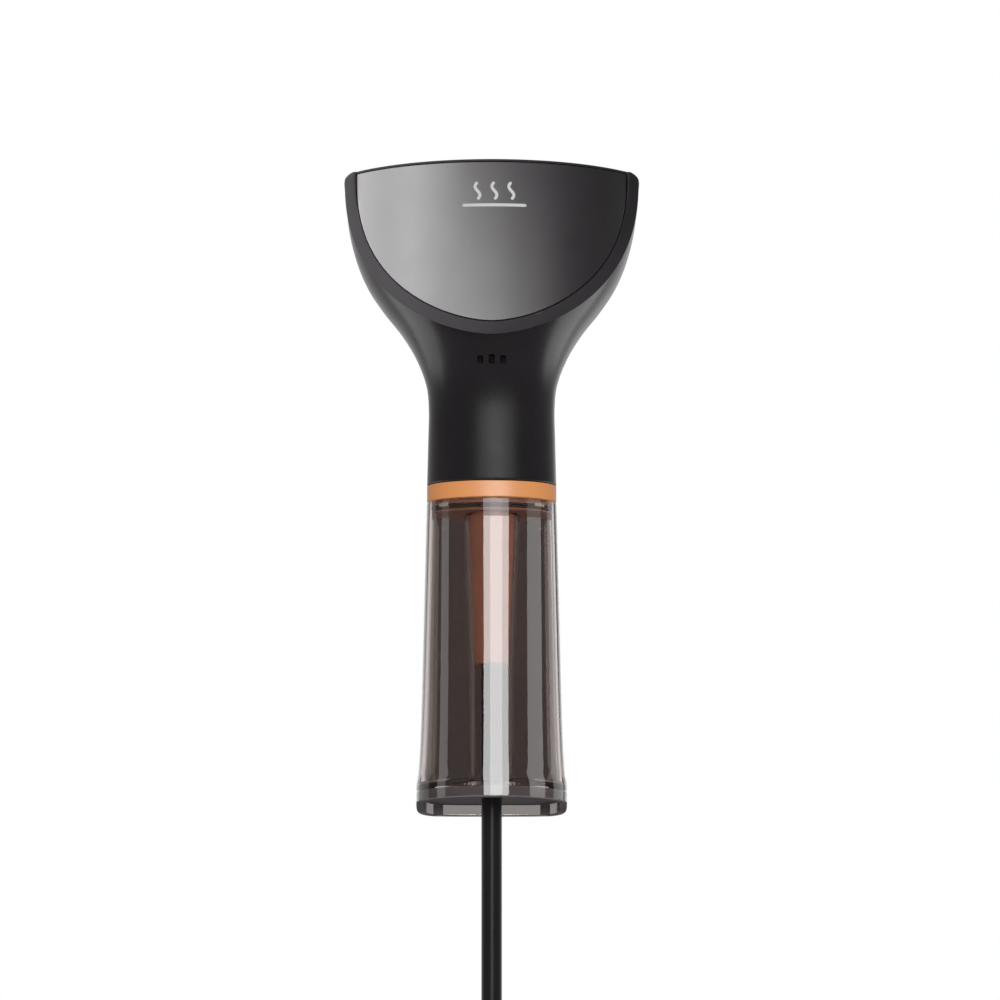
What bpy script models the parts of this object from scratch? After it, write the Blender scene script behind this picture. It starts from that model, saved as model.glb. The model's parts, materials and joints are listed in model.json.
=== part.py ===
"""Hand-held garment steamer: half-moon head, oval neck, clear push-on water tank, mains cord.

Metres, +Z up. X is across the head, -Y is the user's side and +Y is the steam plate's side.
The origin is on the handle's long axis, at the narrowest part of the neck.
"""

import math

import bmesh
import bpy
from mathutils import Matrix, Vector

# ---- driving dimensions ----
GAP = 0.0003            # clearance between touching pieces
WALL = 0.0022           # moulded housing wall
SIDES = 44              # points round an oval section

TOP_Z = 0.0998          # flat top of the head
NECK_END_Z = -0.0167    # lower end of the black housing
RING_H = 0.0060         # orange ring
TANK_TOP_Z = NECK_END_Z - RING_H - 2 * GAP
TANK_BASE_Z = -0.1349   # foot of the water tank
TANK_WALL = 0.0026
RECESS_H = 0.0045       # recess under the tank floor
FLOOR_T = 0.0022

# Housing sections: height, half width, front y, back y, y of the widest point, back squareness
HOUSING = (
    (NECK_END_Z, 0.02372, -0.01375, 0.0220, 0.0000, 2.4),
    (0.0000, 0.02332, -0.01360, 0.0215, 0.0000, 2.4),
    (0.0120, 0.02312, -0.01355, 0.0215, 0.0000, 2.4),
    (0.0210, 0.02405, -0.01465, 0.0217, 0.0010, 2.5),
    (0.0314, 0.02765, -0.01720, 0.0225, 0.0040, 2.8),
    (0.0413, 0.03310, -0.01900, 0.0236, 0.0070, 3.4),
    (0.0509, 0.04010, -0.01970, 0.0245, 0.0100, 4.2),
    (0.0600, 0.04570, -0.02000, 0.0250, 0.0125, 5.0),
    (0.0700, 0.04980, -0.02000, 0.0250, 0.0140, 5.0),
    (0.0820, 0.05270, -0.02000, 0.0250, 0.0140, 5.0),
    (TOP_Z, 0.05460, -0.02000, 0.0250, 0.0140, 5.0),
)
# Tank sections, the same six values
TANK = (
    (TANK_BASE_Z, 0.02758, -0.01840, 0.0315, 0.0000, 5.7),
    (-0.1280, 0.02758, -0.01840, 0.0315, 0.0000, 5.7),
    (-0.1240, 0.02690, -0.01780, 0.0306, 0.0000, 5.0),
    (-0.1170, 0.02637, -0.01730, 0.0298, 0.0000, 4.6),
    (-0.1000, 0.02572, -0.01660, 0.0286, 0.0000, 4.1),
    (-0.0700, 0.02498, -0.01560, 0.0262, 0.0000, 3.4),
    (-0.0400, 0.02425, -0.01450, 0.0236, 0.0000, 2.7),
    (TANK_TOP_Z, 0.02382, -0.01385, 0.0222, 0.0000, 2.4),
)

# Half-moon outlines: half width, and drop from the flat top to the lowest point; a shape is the
# outline's two powers, across and down, (2, 2) being a half ellipse
PANEL_HALF, PANEL_DROP, PANEL_SHAPE = 0.0497, 0.0602, (1.80, 2.35)
RIM_REAR_HALF, RIM_REAR_DROP, RIM_REAR_SHAPE = 0.0543, 0.0632, (1.80, 2.20)
RIM_LIP = 0.0007            # rim thickness beside the panel's edge
RIM_WALL = 0.0020
RIM_HALF, RIM_DROP = PANEL_HALF + RIM_LIP + GAP, PANEL_DROP + RIM_LIP + GAP
PANEL_T = 0.0020
PANEL_FRONT_Y = -0.0292     # foremost line of the curved panel
PANEL_SAGITTA = 0.0240      # how far its side edges lie behind that line
BACK_HALF, BACK_DROP, BACK_SHAPE = 0.0525, 0.0590, (2.0, 2.0)
BEZEL_W = 0.0050
BEZEL_Y = (0.0253, 0.0312)
PLATE_Y = (0.0262, 0.0320)
BLOCK_Y = (0.0130, 0.0250)

PIN_Y, PIN_Z = 0.0178, 0.0290      # trigger pivot
PIN_R = 0.0015
TRIGGER_HALF_W = 0.0065
BUTTON_Z = -0.0040
BUTTON_R = 0.0048
SLOT_X = (-0.0042, 0.0, 0.0042)    # three indicator slots
SLOT_Z = 0.0275

SLEEVE_Z = (-0.0278, -0.0838)      # strain relief sleeve, root and tip
SLEEVE_R = (0.00825, 0.00605)
TUNNEL_GAP = 0.0006
TUNNEL_T = 0.0013
CORD_D = 0.0075
HOSE_Y = 0.0152                    # pick-up hose behind the tunnel

HANK_TOP_Z = -0.2160               # tied hank of the spare cord
HANK_RUN = 0.1380                  # straight length of its turns
HANK_R = 3 * CORD_D                # bend radius of its end loops
HANK_TURNS = 5
HANK_PITCH = 0.0076
PLUG_Z = (-0.0003, -0.0280, -0.0560)   # relief top, body top, face, below the hank


# ---- materials and basic solids ----
def material(name, colour, roughness, metallic=0.0):
    mat = bpy.data.materials.new(name)
    mat.use_nodes = True
    shader = mat.node_tree.nodes["Principled BSDF"]
    shader.inputs["Base Color"].default_value = (*colour, 1.0)
    shader.inputs["Roughness"].default_value = roughness
    shader.inputs["Metallic"].default_value = metallic
    mat.diffuse_color = (*colour, 1.0)
    return mat


def add(name, verts, faces, colour, roughness, metallic=0.0, smooth_angle=35.0):
    """One closed solid as an object of its own, with its own material."""
    mesh = bpy.data.meshes.new(name)
    mesh.from_pydata([tuple(v) for v in verts], [], faces)
    bm = bmesh.new()
    bm.from_mesh(mesh)
    bmesh.ops.recalc_face_normals(bm, faces=bm.faces)
    bm.to_mesh(mesh)
    bm.free()
    mesh.shade_smooth()
    mesh.set_sharp_from_angle(angle=math.radians(smooth_angle))
    mesh.materials.append(material(name + "_finish", colour, roughness, metallic))
    obj = bpy.data.objects.new(name, mesh)
    bpy.context.scene.collection.objects.link(obj)
    return obj


def join_rings(rings, closed):
    """Faces over rings of equal length; closed joins the last ring to the first, else both are capped."""
    count = len(rings[0])
    verts = [point for ring in rings for point in ring]
    faces = []
    last = len(rings) if closed else len(rings) - 1
    for i in range(last):
        low, high = i * count, (i + 1) % len(rings) * count
        for j in range(count):
            k = (j + 1) % count
            faces.append((low + j, low + k, high + k, high + j))
    if not closed:
        faces.append(tuple(range(count))[::-1])
        faces.append(tuple(range(len(verts) - count, len(verts))))
    return verts, faces


def rings_solid(name, rings, finish, closed=False):
    verts, faces = join_rings(rings, closed)
    return add(name, verts, faces, *finish)


def circle(radius, z, centre=(0.0, 0.0), count=24):
    steps = (2 * math.pi * i / count for i in range(count))
    return [Vector((centre[0] + radius * math.cos(t), centre[1] + radius * math.sin(t), z))
            for t in steps]


def turned(name, profile, finish, at=(0.0, 0.0, 0.0), axis="Z", closed=False, count=24):
    """A round piece from (radius, height) points, standing at a place along Z, or along Y or X."""
    obj = rings_solid(name, [circle(r, h, count=count) for r, h in profile], finish, closed)
    turn = {"Z": Matrix(), "Y": Matrix.Rotation(math.radians(-90), 4, "X"),
            "X": Matrix.Rotation(math.radians(90), 4, "Y")}[axis]
    obj.data.transform(turn)
    obj.location = at
    return obj


def box(name, low, high, finish, bevel=0.0):
    """A block between two corners, with its edges rounded by a Bevel modifier."""
    xs, ys, zs = ((low[i], high[i]) for i in range(3))
    corners = ((xs[0], ys[0]), (xs[1], ys[0]), (xs[1], ys[1]), (xs[0], ys[1]))
    bottom = [Vector((x, y, zs[0])) for x, y in corners]
    top = [v + Vector((0.0, 0.0, zs[1] - zs[0])) for v in bottom]
    obj = rings_solid(name, [bottom, top], finish)
    if bevel:
        mod = obj.modifiers.new("rounded_edges", "BEVEL")
        mod.width = bevel
        mod.segments = 2
        mod.limit_method = "ANGLE"
    return obj


def tube(name, points, radius, finish, sides_level=2):
    """A round flexible piece along a list of points."""
    curve = bpy.data.curves.new(name, "CURVE")
    curve.dimensions = "3D"
    curve.bevel_depth = radius
    curve.bevel_resolution = sides_level
    curve.use_fill_caps = True
    spline = curve.splines.new("POLY")
    spline.points.add(len(points) - 1)
    for point, place in zip(spline.points, points):
        point.co = (*place, 1.0)
    curve.materials.append(material(name + "_finish", *finish))
    obj = bpy.data.objects.new(name, curve)
    bpy.context.scene.collection.objects.link(obj)
    return obj


def smooth_route(route, step):
    """Points a fixed step apart on a Catmull-Rom curve through the route's own points."""
    knots = [Vector(p) for p in route]
    ends = [2 * knots[0] - knots[1], *knots, 2 * knots[-1] - knots[-2]]
    fine = []
    for a, b, c, d in zip(ends, ends[1:], ends[2:], ends[3:]):
        for i in range(20):
            t = i / 20
            fine.append(0.5 * (2 * b + (c - a) * t + (2 * a - 5 * b + 4 * c - d) * t * t
                               + (3 * b - a - 3 * c + d) * t ** 3))
    fine.append(knots[-1])
    places = [fine[0]]
    for point in fine[1:]:
        if (point - places[-1]).length >= step:
            places.append(point)
    if (places[-1] - fine[-1]).length < step / 2:
        places.pop()
    return [*places, fine[-1]]


def cut(obj, cutter, operation="DIFFERENCE"):
    cutter.hide_render = True
    cutter.display_type = "WIRE"
    mod = obj.modifiers.new("cut_by_" + cutter.name, "BOOLEAN")
    mod.operation = operation
    mod.solver = "EXACT"
    mod.object = cutter


def join_meshes(name, pieces):
    """One cutter from several closed shapes that don't touch."""
    bm = bmesh.new()
    for piece in pieces:
        mesh = piece.data.copy()
        mesh.transform(piece.matrix_basis)
        bm.from_mesh(mesh)
        bpy.data.objects.remove(piece)
    mesh = bpy.data.meshes.new(name)
    bm.to_mesh(mesh)
    bm.free()
    obj = bpy.data.objects.new(name, mesh)
    bpy.context.scene.collection.objects.link(obj)
    return obj


# ---- shapes that the housing, head and tank share ----
def station(table, z):
    """The section values at a height, by a cubic through the table's own sections."""
    rows = sorted(table)
    z = min(max(z, rows[0][0]), rows[-1][0])
    i = max(k for k in range(len(rows) - 1) if rows[k][0] <= z)
    a, b = rows[i], rows[i + 1]
    before, after = rows[max(i - 1, 0)], rows[min(i + 2, len(rows) - 1)]
    span = b[0] - a[0]
    t = (z - a[0]) / span
    values = []
    for n in range(1, len(a)):
        slope_a = (b[n] - before[n]) / (b[0] - before[0]) * span
        slope_b = (after[n] - a[n]) / (after[0] - a[0]) * span
        values.append((2 * t ** 3 - 3 * t * t + 1) * a[n] + (t ** 3 - 2 * t * t + t) * slope_a
                      + (3 * t * t - 2 * t ** 3) * b[n] + (t ** 3 - t * t) * slope_b)
    return values


def oval(table, z, inset=0.0, at_z=None):
    """A section's outline: a plain ellipse to the front, a squarer one to the back."""
    half, front, back, mid, power = station(table, z)
    points = []
    for i in range(SIDES):
        t = 2 * math.pi * i / SIDES
        c, s = math.cos(t), math.sin(t)
        p = 2 / power if s > 0 else 1.0
        x = math.copysign(abs(c) ** p, c) * (half - inset)
        depth = (back - mid - inset) if s > 0 else (mid - front - inset)
        points.append(Vector((x, mid + math.copysign(abs(s) ** p, s) * depth,
                              z if at_z is None else at_z)))
    return points


def levels(low, high, count):
    return [low + (high - low) * i / (count - 1) for i in range(count)]


def housing_front(x, z):
    """The y of the housing's front surface at a place on the head."""
    half, front, _, mid, _ = station(HOUSING, z)
    return mid - (mid - front) * math.sqrt(max(0.0, 1 - (x / half) ** 2))


def panel_front(x):
    """The y of the curved front panel, an arc across the head."""
    radius = (PANEL_HALF ** 2 + PANEL_SAGITTA ** 2) / (2 * PANEL_SAGITTA)
    return PANEL_FRONT_Y + radius - math.sqrt(radius ** 2 - min(abs(x), PANEL_HALF) ** 2)


def half_moon(half, drop, inset=0.0, shape=BACK_SHAPE, arc_steps=30, top_steps=22):
    """A half-moon outline as (x, z): flat top, curved below, points closest at the corners."""
    top = TOP_Z - inset
    across, down = 2 / shape[0], 2 / shape[1]
    arc = []
    for i in range(arc_steps + 1):
        c, s = -math.cos(math.pi * i / arc_steps), math.sin(math.pi * i / arc_steps)
        arc.append((math.copysign(abs(c) ** across, c) * (half - inset),
                    top - max(s, 0.0) ** down * (drop - 2 * inset)))
    flat = [((half - inset) * math.cos(math.pi * i / top_steps), top) for i in range(1, top_steps)]
    return arc + flat


def rim_shape(blend):
    return tuple(a + blend * (b - a) for a, b in zip(PANEL_SHAPE, RIM_REAR_SHAPE))


def moon_ring(outline, y):
    return [Vector((x, y, z)) for x, z in outline]


# ---- finishes: colour, roughness, metallic ----
SATIN_BLACK = ((0.020, 0.018, 0.020), 0.42)
GLOSS_BLACK = ((0.012, 0.011, 0.012), 0.08)
ORANGE = ((0.72, 0.27, 0.09), 0.35)
SMOKE = ((0.13, 0.10, 0.09), 0.05)
RUBBER = ((0.03, 0.03, 0.032), 0.55)
SILICONE = ((0.55, 0.55, 0.56), 0.6)
ALUMINIUM = ((0.62, 0.62, 0.63), 0.35, 1.0)
STEEL = ((0.55, 0.55, 0.56), 0.25, 1.0)
BRASS = ((0.70, 0.52, 0.22), 0.3, 1.0)
COPPER = ((0.55, 0.20, 0.10), 0.4, 0.6)
BOARD_GREEN = ((0.02, 0.14, 0.06), 0.5)
NYLON = ((0.75, 0.75, 0.72), 0.5)
MICA = ((0.42, 0.33, 0.20), 0.6)


# ---- housing ----
def housing_solid(name, finish):
    """The whole moulded housing: closed top, open lower end."""
    outer = [oval(HOUSING, z) for z in levels(NECK_END_Z, TOP_Z, 17)]
    inner_levels = levels(NECK_END_Z, TOP_Z - WALL, 11)
    inner = [oval(HOUSING, z, WALL) for z in reversed(inner_levels)]
    return rings_solid(name, inner + outer, finish)


def moon_prism(name, half, drop, inset, y0, y1):
    outline = half_moon(half, drop, inset)
    return rings_solid(name, [moon_ring(outline, y0), moon_ring(outline, y1)], NYLON)


def make_housing():
    """Main shell with the head openings, and the cover that closes the back of the neck."""
    shell = housing_solid("main_housing", SATIN_BLACK)
    cover = housing_solid("neck_rear_cover", SATIN_BLACK)
    split = 0.0100
    cover_top = 0.0400
    removed = box("rear_cover_space", (-0.05, split - GAP, NECK_END_Z - 0.01),
                  (0.05, 0.05, cover_top + GAP), NYLON)
    kept = box("rear_cover_limits", (-0.05, split, NECK_END_Z - 0.01), (0.05, 0.05, cover_top), NYLON)
    openings = moon_prism("head_opening", BACK_HALF, BACK_DROP, 0.0075, -0.05, 0.05)
    cut(shell, removed)
    cut(shell, openings)
    cut(shell, slot_cutter())
    cut(cover, kept, "INTERSECT")
    cut(cover, trigger_window())
    cut(cover, button_hole())
    cut(cover, screw_holes())


def slot_cutter():
    cutters = []
    for i, x in enumerate(SLOT_X):
        tall = 0.0019 if x == 0.0 else 0.0015
        cutters.append(box(f"slot_{i}", (x - 0.00105, -0.02, SLOT_Z - 0.0015),
                           (x + 0.00105, -0.005, SLOT_Z + tall), NYLON))
    return join_meshes("indicator_slots", cutters)


def trigger_window():
    half = TRIGGER_HALF_W + GAP
    return box("trigger_window", (-half, 0.0120, 0.0060), (half, 0.0400, 0.0340), NYLON)


def button_hole():
    profile = ((BUTTON_R + GAP, -0.004), (BUTTON_R + GAP, 0.010))
    return turned("button_hole", profile, NYLON, at=(0.0, 0.0180, BUTTON_Z), axis="Y")


def cover_screw_places():
    return [(side * 0.0125, 0.0125, -0.0120) for side in (-1, 1)]


def screw_holes():
    holes = []
    for i, place in enumerate(cover_screw_places()):
        profile = ((0.0024, 0.0), (0.0024, 0.020))
        holes.append(turned(f"screw_hole_{i}", profile, NYLON, at=place, axis="Y", count=16))
    return join_meshes("cover_screw_holes", holes)


# ---- head ----
def rim_ring(blend, inset, forward):
    """A loop of the rim: blend 0 at the panel's edge and 1 at the housing, inset into its wall."""
    half = RIM_HALF + blend * (RIM_REAR_HALF - RIM_HALF)
    drop = RIM_DROP + blend * (RIM_REAR_DROP - RIM_DROP)
    ring = []
    for x, z in half_moon(half, drop, inset, rim_shape(blend)):
        front = panel_front(x) + forward
        rear = housing_front(x, z) - GAP
        ring.append(Vector((x, front + blend * (rear - front), z)))
    return ring


def make_rim():
    """Band round the front panel, with a seat that the panel's edge lies in."""
    seat = PANEL_T + 2 * GAP
    seat_blend = 0.12
    rear_insets = (0.0, 0.0004, 0.0010, RIM_WALL)
    rings = [rim_ring(blend, 0.0, 0.0) for blend in (0.0, 0.5)]
    rings += [rim_ring(1.0, inset, 0.0) for inset in rear_insets]
    rings += [rim_ring(seat_blend, RIM_WALL, seat), rim_ring(seat_blend, RIM_LIP, seat),
              rim_ring(0.0, RIM_LIP, 0.0)]
    rings_solid("head_rim", rings, SATIN_BLACK, closed=True)


def make_panel():
    """Curved glossy cover in concentric half-moon rows, front and back."""
    centre_z = TOP_Z - 0.4 * PANEL_DROP
    outline = half_moon(RIM_HALF, RIM_DROP, RIM_LIP + GAP, PANEL_SHAPE)
    shares = (0.1, 0.3, 0.5, 0.7, 0.86, 1.0)

    def row(share, depth):
        return [Vector((x * share, panel_front(x * share) + depth, centre_z + (z - centre_z) * share))
                for x, z in outline]

    rings = [row(s, 0.0) for s in shares] + [row(s, PANEL_T) for s in reversed(shares)]
    rings_solid("front_panel", rings, GLOSS_BLACK)


def make_bezel():
    """Frame round the steam plate, on the housing's flat back."""
    outer = half_moon(BACK_HALF, BACK_DROP)
    soft = half_moon(BACK_HALF, BACK_DROP, 0.0012)
    inner = half_moon(BACK_HALF, BACK_DROP, BEZEL_W)
    y0, y1 = BEZEL_Y
    rings = [moon_ring(outer, y0), moon_ring(outer, y1 - 0.0012), moon_ring(soft, y1),
             moon_ring(inner, y1), moon_ring(inner, y0)]
    rings_solid("plate_bezel", rings, SATIN_BLACK, closed=True)


def steam_hole_places():
    """Holes on three arcs that follow the plate's outline; none at the middle of the plate."""
    places = []
    for scale, count in ((0.72, 11), (0.46, 7)):
        for i in range(count):
            t = math.pi * (i + 0.5) / count
            places.append((-0.0440 * scale * math.cos(t), TOP_Z - 0.0150 - 0.0380 * scale * math.sin(t)))
    return places


def make_steam_plate():
    """Heated sole plate with steam holes, set in the bezel."""
    inset = BEZEL_W + GAP
    outer = half_moon(BACK_HALF, BACK_DROP, inset)
    soft = half_moon(BACK_HALF, BACK_DROP, inset + 0.0010)
    y0, y1 = PLATE_Y
    rings = [moon_ring(outer, y0), moon_ring(outer, y1 - 0.0010), moon_ring(soft, y1)]
    plate = rings_solid("steam_plate", rings, ALUMINIUM)
    drills = []
    for i, (x, z) in enumerate(steam_hole_places()):
        drills.append(turned(f"drill_{i}", ((0.0013, -0.01), (0.0013, 0.01)), NYLON,
                             at=(x, y1, z), axis="Y", count=12))
    cut(plate, join_meshes("steam_hole_drills", drills))


def make_heater():
    """Steam chamber block, its tubular element, gasket, thermostat, fuse, shield and inlet."""
    y0, y1 = BLOCK_Y
    rim_inset = 0.0120
    block_outline = half_moon(BACK_HALF, BACK_DROP, rim_inset)
    block = rings_solid("steam_chamber_block", [moon_ring(block_outline, y0), moon_ring(block_outline, y1)],
                        ALUMINIUM)
    cavity = moon_prism("steam_cavity", BACK_HALF, BACK_DROP, rim_inset + 0.0040, y1 - 0.0040, y1 + 0.0100)
    cut(block, cavity)

    seal_out = half_moon(BACK_HALF, BACK_DROP, rim_inset)
    seal_in = half_moon(BACK_HALF, BACK_DROP, rim_inset + 0.0030)
    s0, s1 = y1 + GAP, PLATE_Y[0] - GAP
    rings_solid("chamber_gasket", [moon_ring(seal_out, s0), moon_ring(seal_out, s1),
                                   moon_ring(seal_in, s1), moon_ring(seal_in, s0)], SILICONE, closed=True)

    element_r = 0.0032
    y = y0 - element_r - GAP
    half, low, high = 0.0260, 0.0680, 0.0850
    arc = [(half * math.cos(t), low + 0.006 - 0.0160 * math.sin(t))
           for t in (math.pi * i / 12 for i in range(13))]
    route = [(half, y, high)] + [(x, y, z) for x, z in arc] + [(-half, y, high)]
    tube("heating_element", route, element_r, STEEL, 3)
    for side, name in ((-1, "left"), (1, "right")):
        turned(f"element_terminal_{name}", ((0.0014, 0.0), (0.0014, 0.0045)), STEEL,
               at=(side * half, y, high + GAP), count=12)
    turned("thermostat", ((0.0065, 0.0), (0.0065, 0.004), (0.0045, 0.0045), (0.0045, 0.0085)), BRASS,
           at=(0.0, y0 - 0.0085 - GAP, 0.0780), axis="Y")
    turned("thermal_fuse", ((0.0018, 0.0), (0.0018, 0.012)), NYLON,
           at=(0.0100, y0 - 0.0018 - GAP, 0.0640), axis="Z", count=12)
    turned("chamber_inlet", ((0.0018, 0.0), (0.0018, 0.0045), (0.0030, 0.0050), (0.0030, 0.0090)), BRASS,
           at=(0.0, 0.0180, 0.0434), count=16)
    shield = half_moon(BACK_HALF, BACK_DROP, rim_inset + 0.0040)
    rings_solid("heat_shield", [moon_ring(shield, -0.0010), moon_ring(shield, -0.0002)], MICA)


# ---- neck internals ----
def make_pump():
    """Solenoid pump on the handle axis, its coil, mounts and hoses."""
    at = (0.0, 0.0010, 0.0)
    turned("pump_body", ((0.0028, -0.0150), (0.0028, -0.0110), (0.0044, -0.0108), (0.0044, 0.0150),
                         (0.0028, 0.0152), (0.0028, 0.0190)), NYLON, at=at, count=20)
    inner, outer = 0.0044 + GAP, 0.0085
    turned("pump_coil", ((outer, -0.0060), (outer, 0.0100), (inner, 0.0100), (inner, -0.0060)), COPPER,
           at=at, closed=True, count=20)
    for z, name in ((-0.0095, "lower"), (0.0103, "upper")):
        turned(f"pump_mount_{name}", ((0.0090, z), (0.0090, z + 0.0030), (inner, z + 0.0030), (inner, z)),
               RUBBER, at=at, closed=True, count=20)
    turned("check_valve", ((0.0034, 0.0), (0.0034, 0.0050), (0.0020, 0.0056), (0.0020, 0.0080)), BRASS,
           at=(0.0, 0.0010, 0.0190 + GAP), count=16)
    route = ((0.0, 0.0010, 0.0278), (0.0, 0.0011, 0.0310), (0.0, 0.0060, 0.0352), (0.0, 0.0130, 0.0362),
             (0.0, 0.0179, 0.0400), (0.0, 0.0180, 0.0430))
    tube("steam_feed_hose", smooth_route(route, 0.0020), 0.0012, SILICONE)


def make_electronics():
    """Control board, its light guide behind the three slots, and the two switches."""
    box("control_board", (-0.0075, -0.0102, -0.0130), (0.0075, -0.0088, 0.0240), BOARD_GREEN)
    guide = box("indicator_light_guide", (-0.0065, -0.0104, 0.0250), (0.0065, -0.0088, 0.0300), NYLON)
    for i, x in enumerate(SLOT_X):
        prong = box(f"light_prong_{i}", (x - 0.00075, -0.0152, SLOT_Z - 0.0012),
                    (x + 0.00075, -0.0100, SLOT_Z + 0.0012), NYLON)
        cut(guide, prong, "UNION")
    for side, name in ((-1, "left"), (1, "right")):
        mains = ((0.0045, -0.0040, -0.0170), (0.0048, -0.0062, -0.0160), (0.0050, -0.0090, -0.0150),
                 (0.0050, -0.0095, -0.0134))
        heater = ((0.0055, -0.0076, 0.0200), (0.0072, -0.0050, 0.0330), (0.0180, -0.0040, 0.0500),
                  (0.0330, -0.0040, 0.0680), (0.0390, -0.0020, 0.0800), (0.0390, 0.0040, 0.0880),
                  (0.0330, 0.0092, 0.0925), (0.0275, 0.0095, 0.0930), (0.0260, 0.0095, 0.0902))
        for wire, route, step in (("mains", mains, 0.0015), ("heater", heater, 0.0042)):
            mirrored = [(side * x, y, z) for x, y, z in route]
            tube(f"{wire}_wire_{name}", smooth_route(mirrored, step), 0.0007, SILICONE)
    box("trigger_microswitch", (-0.0060, 0.0102, 0.0100), (0.0060, 0.0142, 0.0180), RUBBER, 0.0004)
    box("power_switch", (-0.0035, 0.0102, BUTTON_Z - 0.0035), (0.0035, 0.0140, BUTTON_Z + 0.0035),
        STEEL, 0.0004)


def lever_outline():
    """Trigger side view as (y, z): an eye at the pivot and a curved finger pad."""
    pad = [(0.0222 + 0.0050 * math.sin(math.pi * i / 10), 0.0330 - 0.0258 * i / 10) for i in range(11)]
    inside = [(0.0175, 0.0068), (0.0168, 0.0120), (0.0160, 0.0240), (0.0148, 0.0275), (0.0152, 0.0310)]
    return pad + inside


def make_trigger():
    """Finger lever that swings on a pin, with its return spring and bracket."""
    outline = lever_outline()
    rings = [[Vector((x, y - PIN_Y, z - PIN_Z)) for y, z in outline]
             for x in (-TRIGGER_HALF_W, TRIGGER_HALF_W)]
    lever = rings_solid("steam_trigger", rings, SATIN_BLACK)
    lever.location = (0.0, PIN_Y, PIN_Z)
    soft = lever.modifiers.new("rounded_edges", "BEVEL")
    soft.width = 0.0006
    soft.segments = 2
    soft.limit_method = "ANGLE"
    soft.angle_limit = math.radians(50)
    bore = turned("trigger_bore", ((PIN_R + GAP, -0.02), (PIN_R + GAP, 0.02)), NYLON,
                  at=(0.0, PIN_Y, PIN_Z), axis="X", count=16)
    cut(lever, bore)
    turned("trigger_pin", ((PIN_R, -0.0092), (PIN_R, 0.0092)), STEEL,
           at=(0.0, PIN_Y, PIN_Z), axis="X", count=16)
    bracket = box("trigger_bracket", (-0.0094, 0.0108, 0.0262), (0.0094, 0.0186, 0.0318), NYLON)
    coil = [(0.0019 * math.cos(t), 0.0118 + 0.0024 * t / (8 * math.pi), 0.0215 + 0.0019 * math.sin(t))
            for t in (2 * math.pi * i / 12 for i in range(49))]
    tube("trigger_spring", coil, 0.00025, STEEL)
    room = box("trigger_bracket_room", (-0.0070, 0.0122, 0.0200), (0.0070, 0.0300, 0.0400), NYLON)
    cut(bracket, room)
    cut(bracket, bore)


def make_power_button():
    """Round push button with a flange that keeps it behind the cover."""
    profile = ((BUTTON_R + 0.0012, 0.0), (BUTTON_R + 0.0012, 0.0014), (BUTTON_R, 0.0016),
               (BUTTON_R, 0.0062), (BUTTON_R - 0.0006, 0.0068))
    turned("power_button", profile, SATIN_BLACK, at=(0.0, 0.0162, BUTTON_Z), axis="Y")


def make_screws():
    for i, (x, y, z) in enumerate(cover_screw_places()):
        profile = ((0.0012, -0.0040), (0.0012, 0.0030), (0.0021, 0.0031), (0.0021, 0.0048))
        turned(f"cover_screw_{i + 1}", profile, STEEL, at=(x, y, z), axis="Y", count=16)


# ---- ring, collar, sleeve and tank ----
def make_ring_and_collar():
    z0, z1 = NECK_END_Z - GAP, NECK_END_Z - GAP - RING_H
    rings = [oval(HOUSING, NECK_END_Z, at_z=z0), oval(HOUSING, NECK_END_Z, at_z=z1),
             oval(HOUSING, NECK_END_Z, 0.0026, z1), oval(HOUSING, NECK_END_Z, 0.0026, z0)]
    rings_solid("tank_ring", rings, ORANGE, closed=True)

    side, groove = 0.0029, 0.0041
    foot_z, head_z = -0.0275, -0.0169
    tube_r = SLEEVE_R[0] + GAP
    levels_out = ((side, foot_z), (side, -0.0268), (groove, -0.0266), (groove, -0.0249), (side, -0.0247),
                  (side, head_z), (side + 0.0020, head_z), (side + 0.0020, -0.0247))
    rings = [oval(HOUSING, NECK_END_Z, inset, z) for inset, z in levels_out]
    rings += [circle(tube_r, -0.0247, count=SIDES), circle(tube_r, foot_z, count=SIDES)]
    rings_solid("tank_collar", rings, RUBBER, closed=True)

    z0, z1 = -0.0251, -0.0264
    rings = [oval(HOUSING, NECK_END_Z, 0.0029 + 0.0001, z0), oval(HOUSING, NECK_END_Z, 0.0029 + 0.0001, z1),
             oval(HOUSING, NECK_END_Z, groove - GAP, z1), oval(HOUSING, NECK_END_Z, groove - GAP, z0)]
    rings_solid("tank_seal", rings, SILICONE, closed=True)


def make_sleeve():
    """Tapered strain relief that the cord leaves through the middle of the tank."""
    z0, z1 = SLEEVE_Z
    profile = ((SLEEVE_R[0], -0.0180), (SLEEVE_R[0], z0), (SLEEVE_R[1], z1 + 0.0010),
               (SLEEVE_R[1] - 0.0010, z1))
    turned("cable_sleeve", profile[::-1], ORANGE, count=32)


def tunnel_inner(z):
    """Bore of the tank's tunnel: it follows the sleeve, then stays clear of the cord."""
    share = (SLEEVE_Z[0] - z) / (SLEEVE_Z[0] - SLEEVE_Z[1])
    return SLEEVE_R[0] + TUNNEL_GAP + min(share, 1.0) * (SLEEVE_R[1] - SLEEVE_R[0])


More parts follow.
